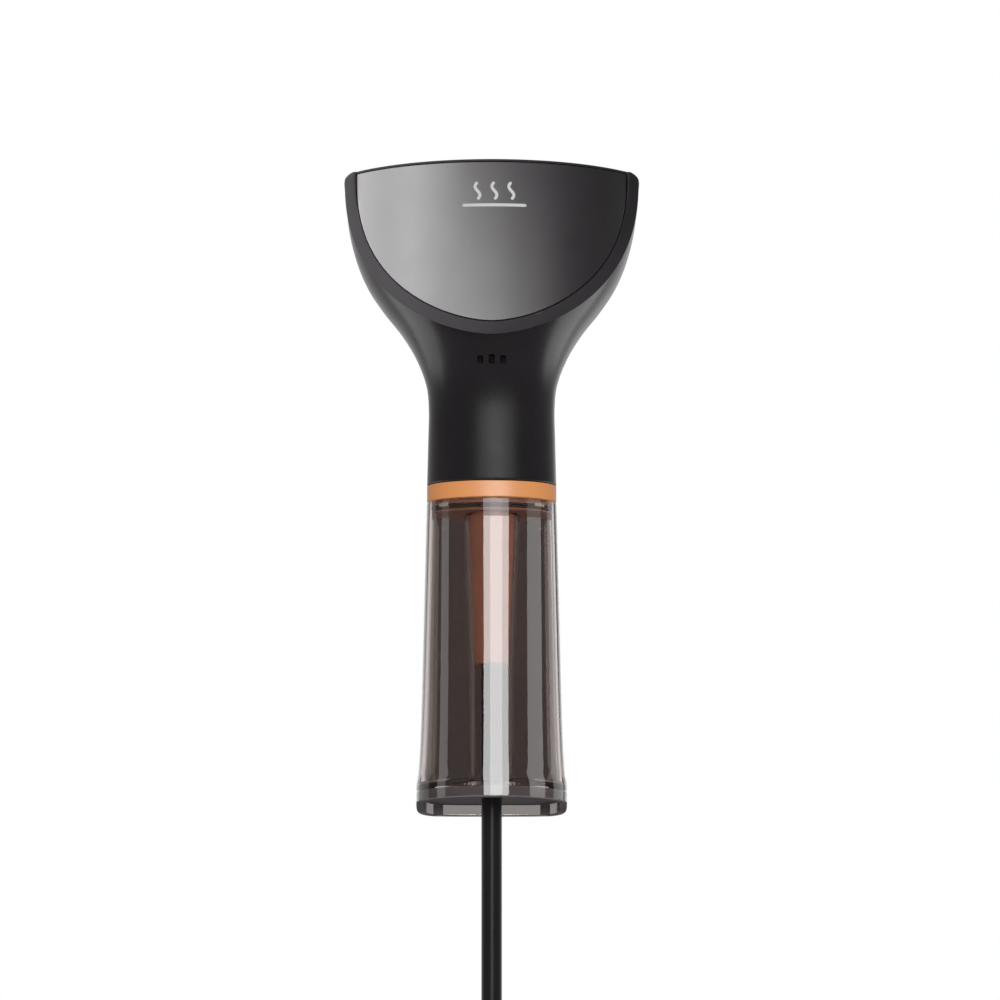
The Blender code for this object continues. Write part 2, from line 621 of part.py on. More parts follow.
def make_tank():
    """Clear tank: outer wall and floor, and the tunnel that stands on the floor round the cord."""
    floor_low = TANK_BASE_Z + RECESS_H
    floor_high = floor_low + FLOOR_T
    outer_z = [TANK_TOP_Z, -0.040, -0.060, -0.080, -0.100, -0.112, -0.120, -0.125, -0.128, TANK_BASE_Z]
    inner_z = [-0.124, -0.116, -0.104, -0.090, -0.070, -0.050, TANK_TOP_Z]
    bore = tunnel_inner(floor_low) + TUNNEL_T + GAP
    rings = [oval(TANK, z) for z in outer_z]
    rings += [oval(TANK, TANK_BASE_Z, TANK_WALL), oval(TANK, TANK_BASE_Z, TANK_WALL, floor_low)]
    rings += [circle(bore, floor_low, count=SIDES), circle(bore, floor_high, count=SIDES)]
    rings += [oval(TANK, TANK_BASE_Z, TANK_WALL + 0.0010, floor_high)]
    rings += [oval(TANK, z, TANK_WALL) for z in inner_z]
    rings_solid("water_tank", rings, SMOKE, closed=True)

    heights = [floor_low, -0.105, SLEEVE_Z[1], -0.060, SLEEVE_Z[0] - GAP]
    out = [(tunnel_inner(z) + TUNNEL_T, z) for z in heights]
    into = [(tunnel_inner(z), z) for z in reversed(heights)]
    turned("tank_tunnel", out + into, SMOKE, closed=True, count=32)


def make_pickup():
    """Hose from the collar to a filter weight near the tank floor."""
    z_top, z_end = -0.0278, -0.1120
    route = ((0.0, HOSE_Y, z_top), (0.0, HOSE_Y, -0.0600), (0.0, HOSE_Y + 0.0010, -0.0900),
             (0.0, HOSE_Y + 0.0010, z_end))
    tube("pickup_hose", smooth_route(route, 0.0060), 0.0017, SILICONE)
    turned("filter_weight", ((0.0030, -0.0140), (0.0036, -0.0130), (0.0036, -0.0020), (0.0022, -0.0010),
                             (0.0022, -GAP)), STEEL, at=(0.0, HOSE_Y + 0.0010, z_end), count=16)


# ---- cord ----
def racetrack(radius, run, count=12):
    """A loop of two straight runs and two round ends as (x, z), its top at z = 0."""
    high, low = -radius, -radius - run
    top = [(radius * math.cos(t), high + radius * math.sin(t))
           for t in (math.pi * i / count for i in range(count + 1))]
    bottom = [(-radius * math.cos(t), low - radius * math.sin(t))
              for t in (math.pi * i / count for i in range(count + 1))]
    return top + bottom


def make_cord():
    """Mains cord: hanging stretch, tied hank of the spare length, tie and plug."""
    start_z = SLEEVE_Z[1] - GAP
    step = 0.0180
    count = int((start_z - HANK_TOP_Z) / step) + 1
    tube("mains_cord", [(0.0, 0.0, z) for z in levels(start_z, HANK_TOP_Z + GAP, count)],
         CORD_D / 2, RUBBER, 3)
    radius = HANK_R + CORD_D / 2
    y0 = -CORD_D / 2
    y1 = y0 + CORD_D + (HANK_TURNS - 1) * HANK_PITCH
    outline = racetrack(radius, HANK_RUN)
    rings_solid("cord_hank", [[Vector((x, y, HANK_TOP_Z + z)) for x, z in outline] for y in (y0, y1)], RUBBER)
    make_tie(radius, y0, y1)
    make_plug(y1 - CORD_D / 2)


def make_tie(radius, y0, y1):
    """Strap round the middle of the hank."""
    mid_z = HANK_TOP_Z - radius - HANK_RUN / 2
    half_h, thick = 0.0060, 0.0016

    def loop(offset, z):
        x = radius + offset
        return [Vector(p) for p in ((-x, y0 - offset, z), (x, y0 - offset, z), (x, y1 + offset, z),
                                    (-x, y1 + offset, z))]

    rings = [loop(GAP, mid_z - half_h), loop(GAP + thick, mid_z - half_h),
             loop(GAP + thick, mid_z + half_h), loop(GAP, mid_z + half_h)]
    rings_solid("cord_tie", rings, RUBBER, closed=True)


def make_plug(y):
    """Two-pin mains plug that hangs below the hank."""
    base_z = HANK_TOP_Z - 2 * (HANK_R + CORD_D / 2) - HANK_RUN
    relief_top, body_top, face = (base_z + z for z in PLUG_Z)
    outline = [(0.0175 * math.copysign(abs(math.cos(t)) ** 0.7, math.cos(t)),
                0.0125 * math.copysign(abs(math.sin(t)) ** 0.7, math.sin(t)))
               for t in (2 * math.pi * i / 32 for i in range(32))]

    def section(scale_x, scale_y, z):
        return [Vector((x * scale_x, y + dy * scale_y, z)) for x, dy in outline]

    rings = [circle(0.0048, relief_top, (0.0, y), 32), circle(0.0060, body_top + 0.0040, (0.0, y), 32),
             section(0.62, 0.75, body_top), section(0.85, 0.95, body_top - 0.0100),
             section(1.0, 1.0, face + 0.0060), section(1.0, 1.0, face + 0.0010),
             section(0.95, 0.94, face)]
    rings_solid("plug_body", rings, RUBBER)
    for side, name in ((-1, "left"), (1, "right")):
        turned(f"plug_pin_{name}", ((0.0024, 0.0), (0.0024, -0.0170), (0.0016, -0.0190)), STEEL,
               at=(side * 0.0095, y, face - GAP), count=16)


def main():
    for obj in list(bpy.data.objects):
        bpy.data.objects.remove(obj)
    make_housing()
    make_rim()
    make_panel()
    make_bezel()
    make_steam_plate()
    make_heater()
    make_pump()
    make_electronics()
    make_trigger()
    make_power_button()
    make_screws()
    make_ring_and_collar()
    make_sleeve()
    make_tank()
    make_pickup()
    make_cord()


main()
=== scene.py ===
"""Looks of the hand-held garment steamer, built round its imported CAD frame.

Metres, +Z up, X across the head, -Y the user's side. Shapes follow the CAD model's own dimensions,
which are repeated at the top of this file.
"""

import json
from math import copysign, cos, dist, exp, hypot, pi, radians, sin, sqrt

import bmesh
import bpy
from mathutils import Matrix, Vector


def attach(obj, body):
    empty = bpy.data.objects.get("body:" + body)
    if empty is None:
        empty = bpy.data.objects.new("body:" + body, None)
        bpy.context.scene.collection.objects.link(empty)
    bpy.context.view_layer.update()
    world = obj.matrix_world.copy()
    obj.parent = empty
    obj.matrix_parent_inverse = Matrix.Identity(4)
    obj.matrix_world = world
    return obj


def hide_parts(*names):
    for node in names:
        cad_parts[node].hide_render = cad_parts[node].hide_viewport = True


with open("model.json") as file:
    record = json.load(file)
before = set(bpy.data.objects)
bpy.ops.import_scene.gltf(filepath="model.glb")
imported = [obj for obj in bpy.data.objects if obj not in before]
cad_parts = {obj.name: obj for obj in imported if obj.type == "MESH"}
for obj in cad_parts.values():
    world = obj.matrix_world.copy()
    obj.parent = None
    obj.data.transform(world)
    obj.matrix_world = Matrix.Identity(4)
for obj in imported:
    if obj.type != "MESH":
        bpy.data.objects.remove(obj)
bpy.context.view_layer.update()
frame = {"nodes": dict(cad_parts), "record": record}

# ---- dimensions shared with the CAD model ----
GAP = 0.0003
WALL = 0.0022
TOP_Z = 0.0998
NECK_END_Z = -0.0167
RING_H = 0.006
TANK_TOP_Z = NECK_END_Z - RING_H - 2 * GAP
TANK_BASE_Z = -0.1349
TANK_WALL = 0.0026
RECESS_H = 0.0045
FLOOR_T = 0.0022

# Sections: height, half width, front y, back y, y of the widest point, back squareness
HOUSING = (
    (NECK_END_Z, 0.02372, -0.01375, 0.022, 0.0, 2.4),
    (0.0, 0.02332, -0.0136, 0.0215, 0.0, 2.4),
    (0.012, 0.02312, -0.01355, 0.0215, 0.0, 2.4),
    (0.021, 0.02405, -0.01465, 0.0217, 0.001, 2.5),
    (0.0314, 0.02765, -0.0172, 0.0225, 0.004, 2.8),
    (0.0413, 0.0331, -0.019, 0.0236, 0.007, 3.4),
    (0.0509, 0.0401, -0.0197, 0.0245, 0.01, 4.2),
    (0.06, 0.0457, -0.02, 0.025, 0.0125, 5.0),
    (0.07, 0.0498, -0.02, 0.025, 0.014, 5.0),
    (0.082, 0.0527, -0.02, 0.025, 0.014, 5.0),
    (TOP_Z, 0.0546, -0.02, 0.025, 0.014, 5.0),
)
TANK = (
    (TANK_BASE_Z, 0.02758, -0.0184, 0.0315, 0.0, 5.7),
    (-0.128, 0.02758, -0.0184, 0.0315, 0.0, 5.7),
    (-0.124, 0.0269, -0.0178, 0.0306, 0.0, 5.0),
    (-0.117, 0.02637, -0.0173, 0.0298, 0.0, 4.6),
    (-0.1, 0.02572, -0.0166, 0.0286, 0.0, 4.1),
    (-0.07, 0.02498, -0.0156, 0.0262, 0.0, 3.4),
    (-0.04, 0.02425, -0.0145, 0.0236, 0.0, 2.7),
    (TANK_TOP_Z, 0.02382, -0.01385, 0.0222, 0.0, 2.4),
)

PANEL_HALF, PANEL_DROP, PANEL_SHAPE = 0.0497, 0.0602, (1.8, 2.35)
RIM_REAR_HALF, RIM_REAR_DROP, RIM_REAR_SHAPE = 0.0543, 0.0632, (1.8, 2.2)
RIM_LIP = 0.0007
RIM_WALL = 0.002
RIM_HALF, RIM_DROP = PANEL_HALF + RIM_LIP + GAP, PANEL_DROP + RIM_LIP + GAP
PANEL_T = 0.002
PANEL_FRONT_Y = -0.0292
PANEL_SAGITTA = 0.024
BACK_HALF, BACK_DROP, BACK_SHAPE = 0.0525, 0.059, (2.0, 2.0)
BEZEL_W = 0.005
BEZEL_Y = (0.0253, 0.0312)
PLATE_Y = (0.0262, 0.032)

SEAM = 0.00005  # part of a joint's gap that the visible pieces leave open
PRINT_FRONT, PANEL_BACK_OFF, PRINT_BACK = 0.00001, 0.00005, 0.00012

COVER_Y, COVER_TOP_Z = 0.01, 0.04
SCREW_X, SCREW_Y, SCREW_Z = 0.0125, 0.0125, -0.012
PIN_Y, PIN_Z, PIN_R = 0.0178, 0.029, 0.0015
TRIGGER_HALF_W = 0.0065
PAD_Y, PAD_CROWN = 0.0222, 0.005
PAD_TOP_Z, PAD_H = 0.033, 0.0258
BUTTON_Z = -0.004
BUTTON_R = 0.0048
SLOT_X = (-0.0042, 0.0, 0.0042)
SLOT_Z = 0.0275

COLLAR_SIDE, COLLAR_GROOVE = 0.0029, 0.0041  # insets from the neck's outline
COLLAR_HEAD_Z, COLLAR_BODY_Z, COLLAR_FOOT_Z = -0.0169, -0.0247, -0.0275
LUG_X, LUG_HALF, LUG_Z = 0.0172, 0.0016, (-0.0256, -0.0243)
SLEEVE_Z = (-0.0278, -0.0838)
SLEEVE_R = (0.00825, 0.00605)
TUNNEL_GAP = 0.0006
TUNNEL_T = 0.0013
CORD_D = 0.0075
HOSE_Y = 0.0152

HANK_TOP_Z = -0.216
HANK_RUN = 0.138
HANK_R = 3 * CORD_D
HANK_TURNS = 5
HANK_PITCH = 0.0076
PLUG_Z = (-0.0003, -0.028, -0.056)

# ---- view ----
VIEW_WIDTH = 0.367  # what the camera takes in, across, at the object
LENS, SENSOR = 500.0, 36.0
VIEW_ELEVATION = radians(10)  # the view looks up at the object
VIEW_TARGET = Vector((0.00305, 0.0, -0.02199))


# ---- basic shapes ----
SIDES = 160  # points of a round outline


def new_object(name, mesh):
    obj = bpy.data.objects.new(name, mesh)
    bpy.context.scene.collection.objects.link(obj)
    return obj


def shade(mesh, sharp):
    mesh.shade_smooth()
    mesh.set_sharp_from_angle(angle=radians(sharp))


def mesh_object(name, verts, faces, sharp=38.0):
    mesh = bpy.data.meshes.new(name)
    mesh.from_pydata(verts, [], faces)
    bm = bmesh.new()
    bm.from_mesh(mesh)
    bmesh.ops.recalc_face_normals(bm, faces=bm.faces)
    bm.to_mesh(mesh)
    bm.free()
    shade(mesh, sharp)
    return new_object(name, mesh)


def loft(name, rings, closed=False, sharp=38.0):
    """A closed solid over rings of equal length; closed joins the last ring to the first."""
    count = len(rings[0])
    verts = [point for ring in rings for point in ring]
    faces = []
    last = len(rings) if closed else len(rings) - 1
    for i in range(last):
        low, high = i * count, (i + 1) % len(rings) * count
        for j in range(count):
            k = (j + 1) % count
            faces.append((low + j, low + k, high + k, high + j))
    if not closed:
        faces.append(tuple(range(count))[::-1])
        faces.append(tuple(range(len(verts) - count, len(verts))))
    return mesh_object(name, verts, faces, sharp)


def full_turn(count):
    """The angles of a full turn in equal steps."""
    return [2 * pi * i / count for i in range(count)]


def circle(radius, z, count=SIDES):
    return [Vector((radius * cos(t), radius * sin(t), z)) for t in full_turn(count)]


AXIS_TURNS = {"Z": Matrix(), "Y": Matrix.Rotation(radians(-90), 4, "X"),
              "X": Matrix.Rotation(radians(90), 4, "Y")}


def turned(name, profile, at=(0, 0, 0), axis="Z", count=96):
    """A round piece from (radius, height) points."""
    obj = loft(name, [circle(r, h, count) for r, h in profile])
    obj.data.transform(AXIS_TURNS[axis])
    obj.data.transform(Matrix.Translation(at))
    return obj


def rounding(radius, steps=5):
    """(inset, drop) pairs of a quarter round, from the side wall to the flat face."""
    angles = levels(0, pi / 2, steps + 1)
    return [(radius * (1 - cos(t)), radius * (1 - sin(t))) for t in angles]


def levels(low, high, count):
    return [low + (high - low) * i / (count - 1) for i in range(count)]


def eased(t):
    """0 to 1 with a smooth start and end."""
    return t * t * (3 - 2 * t)


def block(name, low, high):
    (x0, y0, z0), (x1, y1, z1) = low, high
    plan = ((x0, y0), (x1, y0), (x1, y1), (x0, y1))
    return loft(name, [[Vector((x, y, z)) for x, y in plan] for z in (z0, z1)])


def tube(name, points, radius, level):
    curve = bpy.data.curves.new(name, "CURVE")
    curve.dimensions = "3D"
    curve.bevel_depth = radius
    curve.bevel_resolution = level
    curve.use_fill_caps = True
    spline = curve.splines.new("POLY")
    spline.points.add(len(points) - 1)
    for point, place in zip(spline.points, points):
        point.co = (*place, 1.0)
    return new_object(name, curve)


def freeze(obj, sharp=38.0):
    """Makes the modifiers' result the object's own mesh."""
    bpy.context.view_layer.update()
    graph = bpy.context.evaluated_depsgraph_get()
    mesh = bpy.data.meshes.new_from_object(obj.evaluated_get(graph))
    obj.modifiers.clear()
    obj.data = mesh
    shade(mesh, sharp)
    return obj


def carve(obj, cutters, operation="DIFFERENCE", sharp=38.0):
    for cutter in cutters:
        mod = obj.modifiers.new("carve", "BOOLEAN")
        mod.operation = operation
        mod.solver = "EXACT"
        mod.object = cutter
    freeze(obj, sharp)
    for cutter in cutters:
        bpy.data.objects.remove(cutter)
    return obj


def soften(obj, width, angle=40.0, sharp=60.0):
    mod = obj.modifiers.new("soft_edges", "BEVEL")
    mod.width = width
    mod.segments = 3
    mod.limit_method = "ANGLE"
    mod.angle_limit = radians(angle)
    return freeze(obj, sharp)


def join(name, pieces):
    bm = bmesh.new()
    for piece in pieces:
        bm.from_mesh(piece.data)
        bpy.data.objects.remove(piece)
    mesh = bpy.data.meshes.new(name)
    bm.to_mesh(mesh)
    bm.free()
    shade(mesh, 38.0)
    return new_object(name, mesh)


# ---- the object's own sections ----
def station(table, z):
    """The section values at a height, by a cubic through the table's own sections."""
    rows = sorted(table)
    z = min(max(z, rows[0][0]), rows[-1][0])
    i = max(k for k in range(len(rows) - 1) if rows[k][0] <= z)
    a, b = rows[i], rows[i + 1]
    before, after = rows[max(i - 1, 0)], rows[min(i + 2, len(rows) - 1)]
    span = b[0] - a[0]
    t = (z - a[0]) / span
    values = []
    for n in range(1, len(a)):
        slope_a = (b[n] - before[n]) / (b[0] - before[0]) * span
        slope_b = (after[n] - a[n]) / (after[0] - a[0]) * span
        values.append((2 * t ** 3 - 3 * t * t + 1) * a[n] + (t ** 3 - 2 * t * t + t) * slope_a
                      + (3 * t * t - 2 * t ** 3) * b[n] + (t ** 3 - t * t) * slope_b)
    return values


def signed_power(value, power):
    return copysign(abs(value) ** power, value)


def oval(table, z, inset=0.0, at_z=None):
    """A section's outline: round in front, squarer at the back."""
    half, front, back, mid, power = station(table, z)
    points = []
    for t in full_turn(SIDES):
        p, depth = (2 / power, back - mid) if sin(t) > 0 else (1.0, mid - front)
        points.append(Vector((signed_power(cos(t), p) * (half - inset),
                              mid + signed_power(sin(t), p) * (depth - inset),
                              z if at_z is None else at_z)))
    return points


def neck_ring(inset, z):
    """The neck's lower outline, inset and moved to a height."""
    return oval(HOUSING, NECK_END_Z, inset, z)


def housing_front(x, z):
    half, front, _, mid, _ = station(HOUSING, z)
    return mid - (mid - front) * sqrt(max(0.0, 1 - (x / half) ** 2))


def housing_back(x, z):
    half, _, back, mid, power = station(HOUSING, z)
    return mid + (back - mid) * max(0.0, 1 - (abs(x) / half) ** power) ** (1 / power)


def panel_front(x):
    radius = (PANEL_HALF ** 2 + PANEL_SAGITTA ** 2) / (2 * PANEL_SAGITTA)
    return PANEL_FRONT_Y + radius - sqrt(radius ** 2 - min(abs(x), PANEL_HALF) ** 2)


def half_moon(half, drop, inset=0.0, shape=BACK_SHAPE):
    """A half-moon outline as (x, z): flat top, curved below; shape holds its powers across and down."""
    top = TOP_Z - inset
    across, down = 2 / shape[0], 2 / shape[1]
    arc = []
    for t in levels(0, pi, SIDES + 1):
        arc.append((signed_power(-cos(t), across) * (half - inset),
                    top - max(sin(t), 0.0) ** down * (drop - 2 * inset)))
    return arc + [((half - inset) * cos(t), top) for t in full_turn(SIDES)[1:SIDES // 2]]


def rim_shape(blend):
    return tuple(a + blend * (b - a) for a, b in zip(PANEL_SHAPE, RIM_REAR_SHAPE))


def back_ring(inset, y):
    """The outline of the head's back, inset, at a depth."""
    return [Vector((x, y, z)) for x, z in half_moon(BACK_HALF, BACK_DROP, inset)]


# ---- materials ----
def map_range(tree, value, *numbers):
    """Maps a node value from the first two numbers to the last two."""
    node = tree.nodes.new("ShaderNodeMapRange")
    for socket, number in zip(("From Min", "From Max", "To Min", "To Max"), numbers):
        node.inputs[socket].default_value = number
    tree.links.new(value, node.inputs["Value"])
    return node.outputs["Result"]


def mix_shaders(tree, share, first, second, output):
    """Sends the first node's shader to the output where the share is 0, the second's where it is 1."""
    mixer = tree.nodes.new("ShaderNodeMixShader")
    for value, socket in zip((share, first.outputs[0], second.outputs[0]), mixer.inputs):
        tree.links.new(value, socket)
    tree.links.new(mixer.outputs["Shader"], tree.nodes[output].inputs["Surface"])


class Finish:
    """A node material on a Principled shader, with object-space detail added step by step."""

    def __init__(self, name, colour, roughness, metallic=0.0):
        self.material = bpy.data.materials.new(name)
        self.material.use_nodes = True
        self.tree = self.material.node_tree
        self.shader = self.tree.nodes["Principled BSDF"]
        self.set("Base Color", (*colour, 1.0))
        self.set("Roughness", roughness)
        self.set("Metallic", metallic)
        self.colour, self.roughness = colour, roughness
        self.coords = self.node("TexCoord").outputs["Object"]

    def set(self, socket, value):
        self.shader.inputs[socket].default_value = value

    def node(self, kind, settings=(), **inputs):
        made = self.tree.nodes.new("ShaderNode" + kind)
        for key, value in settings:
            setattr(made, key, value)
        for key, value in inputs.items():
            made.inputs[key].default_value = value
        return made

    def link(self, a, b):
        self.tree.links.new(a, b)

    def noise(self, size, detail=2.0, stretch=(1, 1, 1)):
        """A noise whose grain is this many metres across."""
        mapping = self.node("Mapping", Scale=stretch)
        self.link(self.coords, mapping.inputs["Vector"])
        noise = self.node("TexNoise", Scale=1 / size, Detail=detail)
        self.link(mapping.outputs["Vector"], noise.inputs["Vector"])
        return noise.outputs["Fac"]

    def mix(self, share, first, second):
        node = self.node("Mix", [("data_type", "RGBA")])
        self.link(share, node.inputs["Factor"])
        for socket, value in ((node.inputs[6], first), (node.inputs[7], second)):
            if isinstance(value, tuple):
                socket.default_value = (*value, 1.0)
            else:
                self.link(value, socket)
        return node.outputs[2]

    def cloud(self, size, spread):
        """Slow colour drift of the moulding, over patches of this size."""
        low = tuple(c * (1 - spread) for c in self.colour)
        high = tuple(min(1.0, c * (1 + spread)) for c in self.colour)
        share = map_range(self.tree, self.noise(size, 3.0), 0.3, 0.7, 0.0, 1.0)
        self.tint = self.mix(share, low, high)
        self.link(self.tint, self.shader.inputs["Base Color"])
        return self

    def wear(self, amount, lighter=2.2):
        """Lightens the sharpest edges a little."""
        point = self.node("NewGeometry").outputs["Pointiness"]
        edge = map_range(self.tree, point, 0.53, 0.62, 0.0, amount)
        worn = tuple(min(1.0, c * lighter + 0.01) for c in self.colour)
        self.link(self.mix(edge, self.tint, worn), self.shader.inputs["Base Color"])
        return self

    def polish(self, size, spread):
        """Patches of this size that are smoother or rougher by the spread."""
        low, high = self.roughness - spread, self.roughness + spread
        rough = map_range(self.tree, self.noise(size, 3.0), 0.3, 0.7, low, high)
        self.link(rough, self.shader.inputs["Roughness"])
        return self

    def relief(self, size, depth, stretch=(1, 1, 1)):
        """Surface grain of this size and depth."""
        bump = self.node("Bump", Strength=1.0, Distance=depth)
        self.link(self.noise(size, 2.0, stretch), bump.inputs["Height"])
        self.link(bump.outputs["Normal"], self.shader.inputs["Normal"])
        return self

    def see_through(self, tint):
        """Lets lamps and bounced light through, so that what is behind the plastic stays lit."""
        path = self.node("LightPath")
        either = self.node("Math", [("operation", "MAXIMUM")])
        self.link(path.outputs["Is Shadow Ray"], either.inputs[0])
        self.link(path.outputs["Is Diffuse Ray"], either.inputs[1])
        clear = self.node("BsdfTransparent", Color=(*tint, 1.0))
        mix_shaders(self.tree, either.outputs["Value"], self.shader, clear, "Material Output")
        return self


def moulded(name, colour, roughness, grain=0.0004, depth=0.000006, specular=0.5, subsurface=0.0):
    """Injection-moulded plastic or rubber with a fine texture."""
    finish = Finish(name, colour, roughness)
    finish.set("Specular IOR Level", specular)
    finish.set("Subsurface Weight", subsurface)
    return finish.cloud(0.018, 0.06).wear(0.35).polish(0.012, 0.03).relief(grain, depth)


def metal(name, colour, roughness, stretch=(1, 1, 1), grain=0.0006, depth=0.000004):
    finish = Finish(name, colour, roughness, 1.0)
    return finish.cloud(0.012, 0.05).wear(0.3, 1.3).polish(0.006, 0.05).relief(grain, depth, stretch)


def glassy(name, colour, bounced, ior):
    """Clear tinted plastic."""
    finish = Finish(name, colour, 0.0)
    finish.set("IOR", ior)
    finish.set("Transmission Weight", 1.0)
    return finish.relief(0.03, 0.00003).see_through(bounced)


FINE = (0.0004, 0.000006)
# Name: colour, roughness, grain size and depth, specular level, subsurface
PLASTICS = {
    "satin_black": ((0.028, 0.0245, 0.0275), 0.28, *FINE, 0.4),
    "gloss_black": ((0.0115, 0.01, 0.0112), 0.42, 0.0009, 0.000002, 0.5),
    "orange_plastic": ((0.77, 0.315, 0.11), 0.33),
    "orange_sleeve": ((0.88, 0.41, 0.27), 0.45, 0.0006, 0.00001),
    "black_rubber": ((0.029, 0.026, 0.029), 0.3, 0.0005, 0.000012, 0.25),
    # near-white lug colour: a painted glint that stands in for the strip light's reflection on the
    # collar's lugs
    "lug_tan": ((0.9, 0.85, 0.82), 0.35, 0.0005, 0.000005),
    "collar_brown": ((0.54, 0.31, 0.25), 0.4, 0.0005, 0.00001),
    "silicone": ((0.55, 0.55, 0.56), 0.55, *FINE, 0.5, 0.1),
    "nylon": ((0.72, 0.72, 0.68), 0.5),
    "mica": ((0.42, 0.33, 0.2), 0.6, 0.002, 0.00003),
    "light_guide": ((0.012, 0.01, 0.012), 0.4),
    "circuit_board": ((0.02, 0.14, 0.06), 0.45, 0.0008, 0.00001),
    "rim_black": ((0.054, 0.05, 0.054), 0.5, *FINE, 0.0),
    # opaque greys of the tank's foot: painted shade, darkest in front and above, lighter on the
    # recess's rear wall
    "foot_grey": ((0.1, 0.09, 0.094), 0.45, *FINE, 0.0),
    "foot_wall": ((0.15, 0.137, 0.143), 0.45, *FINE, 0.0),
    # opaque lighter finish at both ends of the tank floor: painted light
    "floor_end": ((0.36, 0.32, 0.3), 0.6, *FINE, 0.0),
    "white_print": ((0.9, 0.9, 0.9), 0.5, 0.0003, 0.000002),
    "tie_weave": ((0.02, 0.02, 0.021), 0.8, 0.0008, 0.00015),
}
# Name: colour, roughness, stretch, grain size and depth
METALS = {
    "copper_winding": ((0.6, 0.24, 0.12), 0.35, (1, 1, 12)),
    "brass": ((0.7, 0.52, 0.22), 0.28),
    "steel": ((0.56, 0.56, 0.57), 0.24),
    "plate_metal": ((0.6, 0.6, 0.61), 0.3, (1, 30, 30), 0.004, 0.00001),
    "cast_aluminium": ((0.55, 0.55, 0.56), 0.45, (1, 1, 1), 0.0006, 0.00002),
}
# Name: colour, tint of the light that comes through indirectly, refractive index
CLEARS = {
    "smoke_clear": ((0.245, 0.212, 0.2), (0.9, 0.86, 0.84), 1.49),
    "smoke_upper": ((0.245, 0.212, 0.2), (0.9, 0.86, 0.84), 1.29),
    "smoke_thin": ((0.43, 0.415, 0.41), (0.9, 0.88, 0.87), 1.3),
    "tunnel_clear": ((0.93, 0.91, 0.9), (0.97, 0.97, 0.97), 1.15),
}
FINISHES = {}
for kind, table in ((moulded, PLASTICS), (metal, METALS), (glassy, CLEARS)):
    for finish_name, values in table.items():
        FINISHES[finish_name] = kind(finish_name, *values)


def dress(obj, slot, body="root", replaces=(), finish=None):
    """Gives a piece its finish, named by its slot unless another finish is given, and its CAD body, and
    hides the CAD nodes it stands for.
    """
    obj.data.materials.clear()
    obj.data.materials.append(FINISHES[finish or slot].material)
    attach(obj, body)
    if replaces:
        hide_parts(*replaces)
    return obj


# ---- camera, surroundings and lamps ----
def make_camera():
    data = bpy.data.cameras.new("camera")
    data.lens, data.sensor_width = LENS, SENSOR
    data.clip_start, data.clip_end = 0.5, 60.0
    camera = new_object("camera", data)
    distance = VIEW_WIDTH * LENS / SENSOR
    forward = Vector((0.0, cos(VIEW_ELEVATION), sin(VIEW_ELEVATION)))
    camera.location = VIEW_TARGET - forward * distance
    camera.rotation_euler = (pi / 2 + VIEW_ELEVATION, 0, 0)
    bpy.context.scene.camera = camera


def make_world():
    """A white studio: white behind the object and to its sides, dimmer on the user's side."""
    world = bpy.data.worlds.new("studio")
    bpy.context.scene.world = world
    world.use_nodes = True
    tree = world.node_tree
    shown = tree.nodes["Background"]
    shown.inputs["Color"].default_value = (1, 1, 1, 1)
    lit = tree.nodes.new("ShaderNodeBackground")
    split = tree.nodes.new("ShaderNodeSeparateXYZ")
    tree.links.new(tree.nodes.new("ShaderNodeTexCoord").outputs["Generated"], split.inputs["Vector"])
    fade = map_range(tree, split.outputs["Y"], -0.12, 0.75, 0.12, 1.0)
    tree.links.new(fade, lit.inputs["Strength"])
    path = tree.nodes.new("ShaderNodeLightPath")
    mix_shaders(tree, path.outputs["Is Camera Ray"], lit, shown, "World Output")
    bpy.context.scene.view_settings.view_transform = "Standard"


def softbox(name, azimuth, elevation, distance, size, radiance, aim_z, lit):
    """A rectangular lamp that faces the object; azimuth 0 is the user's side, + to the right."""
    data = bpy.data.lights.new(name, "AREA")
    data.shape = "RECTANGLE"
    data.size, data.size_y = size
    data.energy = radiance * pi * size[0] * size[1]
    lamp = new_object(name, data)
    a, e = radians(azimuth), radians(elevation)
    back = Vector((sin(a) * cos(e), -cos(a) * cos(e), sin(e)))
    lamp.location = Vector((0, 0, aim_z)) + back * distance
    lamp.rotation_euler = back.to_track_quat("Z", "Y").to_euler()
    lamp.visible_camera = False
    lamp.visible_transmission = abs(azimuth) > 90
    group = bpy.data.collections.new(name + "_lit")
    for piece in lit:
        group.objects.link(bpy.data.objects[piece])
    lamp.light_linking.receiver_collection = group


def make_floor():
    """A pale floor far below the object, which is held in the hand."""
    count, reach, depth = 8, 14.0, -9.5
    steps = levels(-reach, reach, count)
    verts = [(x, y, depth) for y in steps for x in steps]
    corners = [i for i in range(count * (count - 1)) if i % count < count - 1]
    faces = [(i, i + 1, i + count + 1, i + count) for i in corners]
    floor = mesh_object("floor", verts, faces)
    finish = Finish("floor_white", (0.85, 0.85, 0.85), 0.9)
    finish.set("Emission Color", (1, 1, 1, 1))
    finish.set("Emission Strength", 0.35)
    finish.cloud(2.0, 0.01)
    floor.data.materials.append(finish.material)


# ---- cord, hank, tie and plug ----
def s_bend(x0, x1, z0, z1, y, steps):
    """A smooth sideways step on the way down, without its first point."""
    return [Vector((x0 + (x1 - x0) * eased(t), y, z0 + (z1 - z0) * t))
            for t in levels(0, 1.0, steps + 1)[1:]]


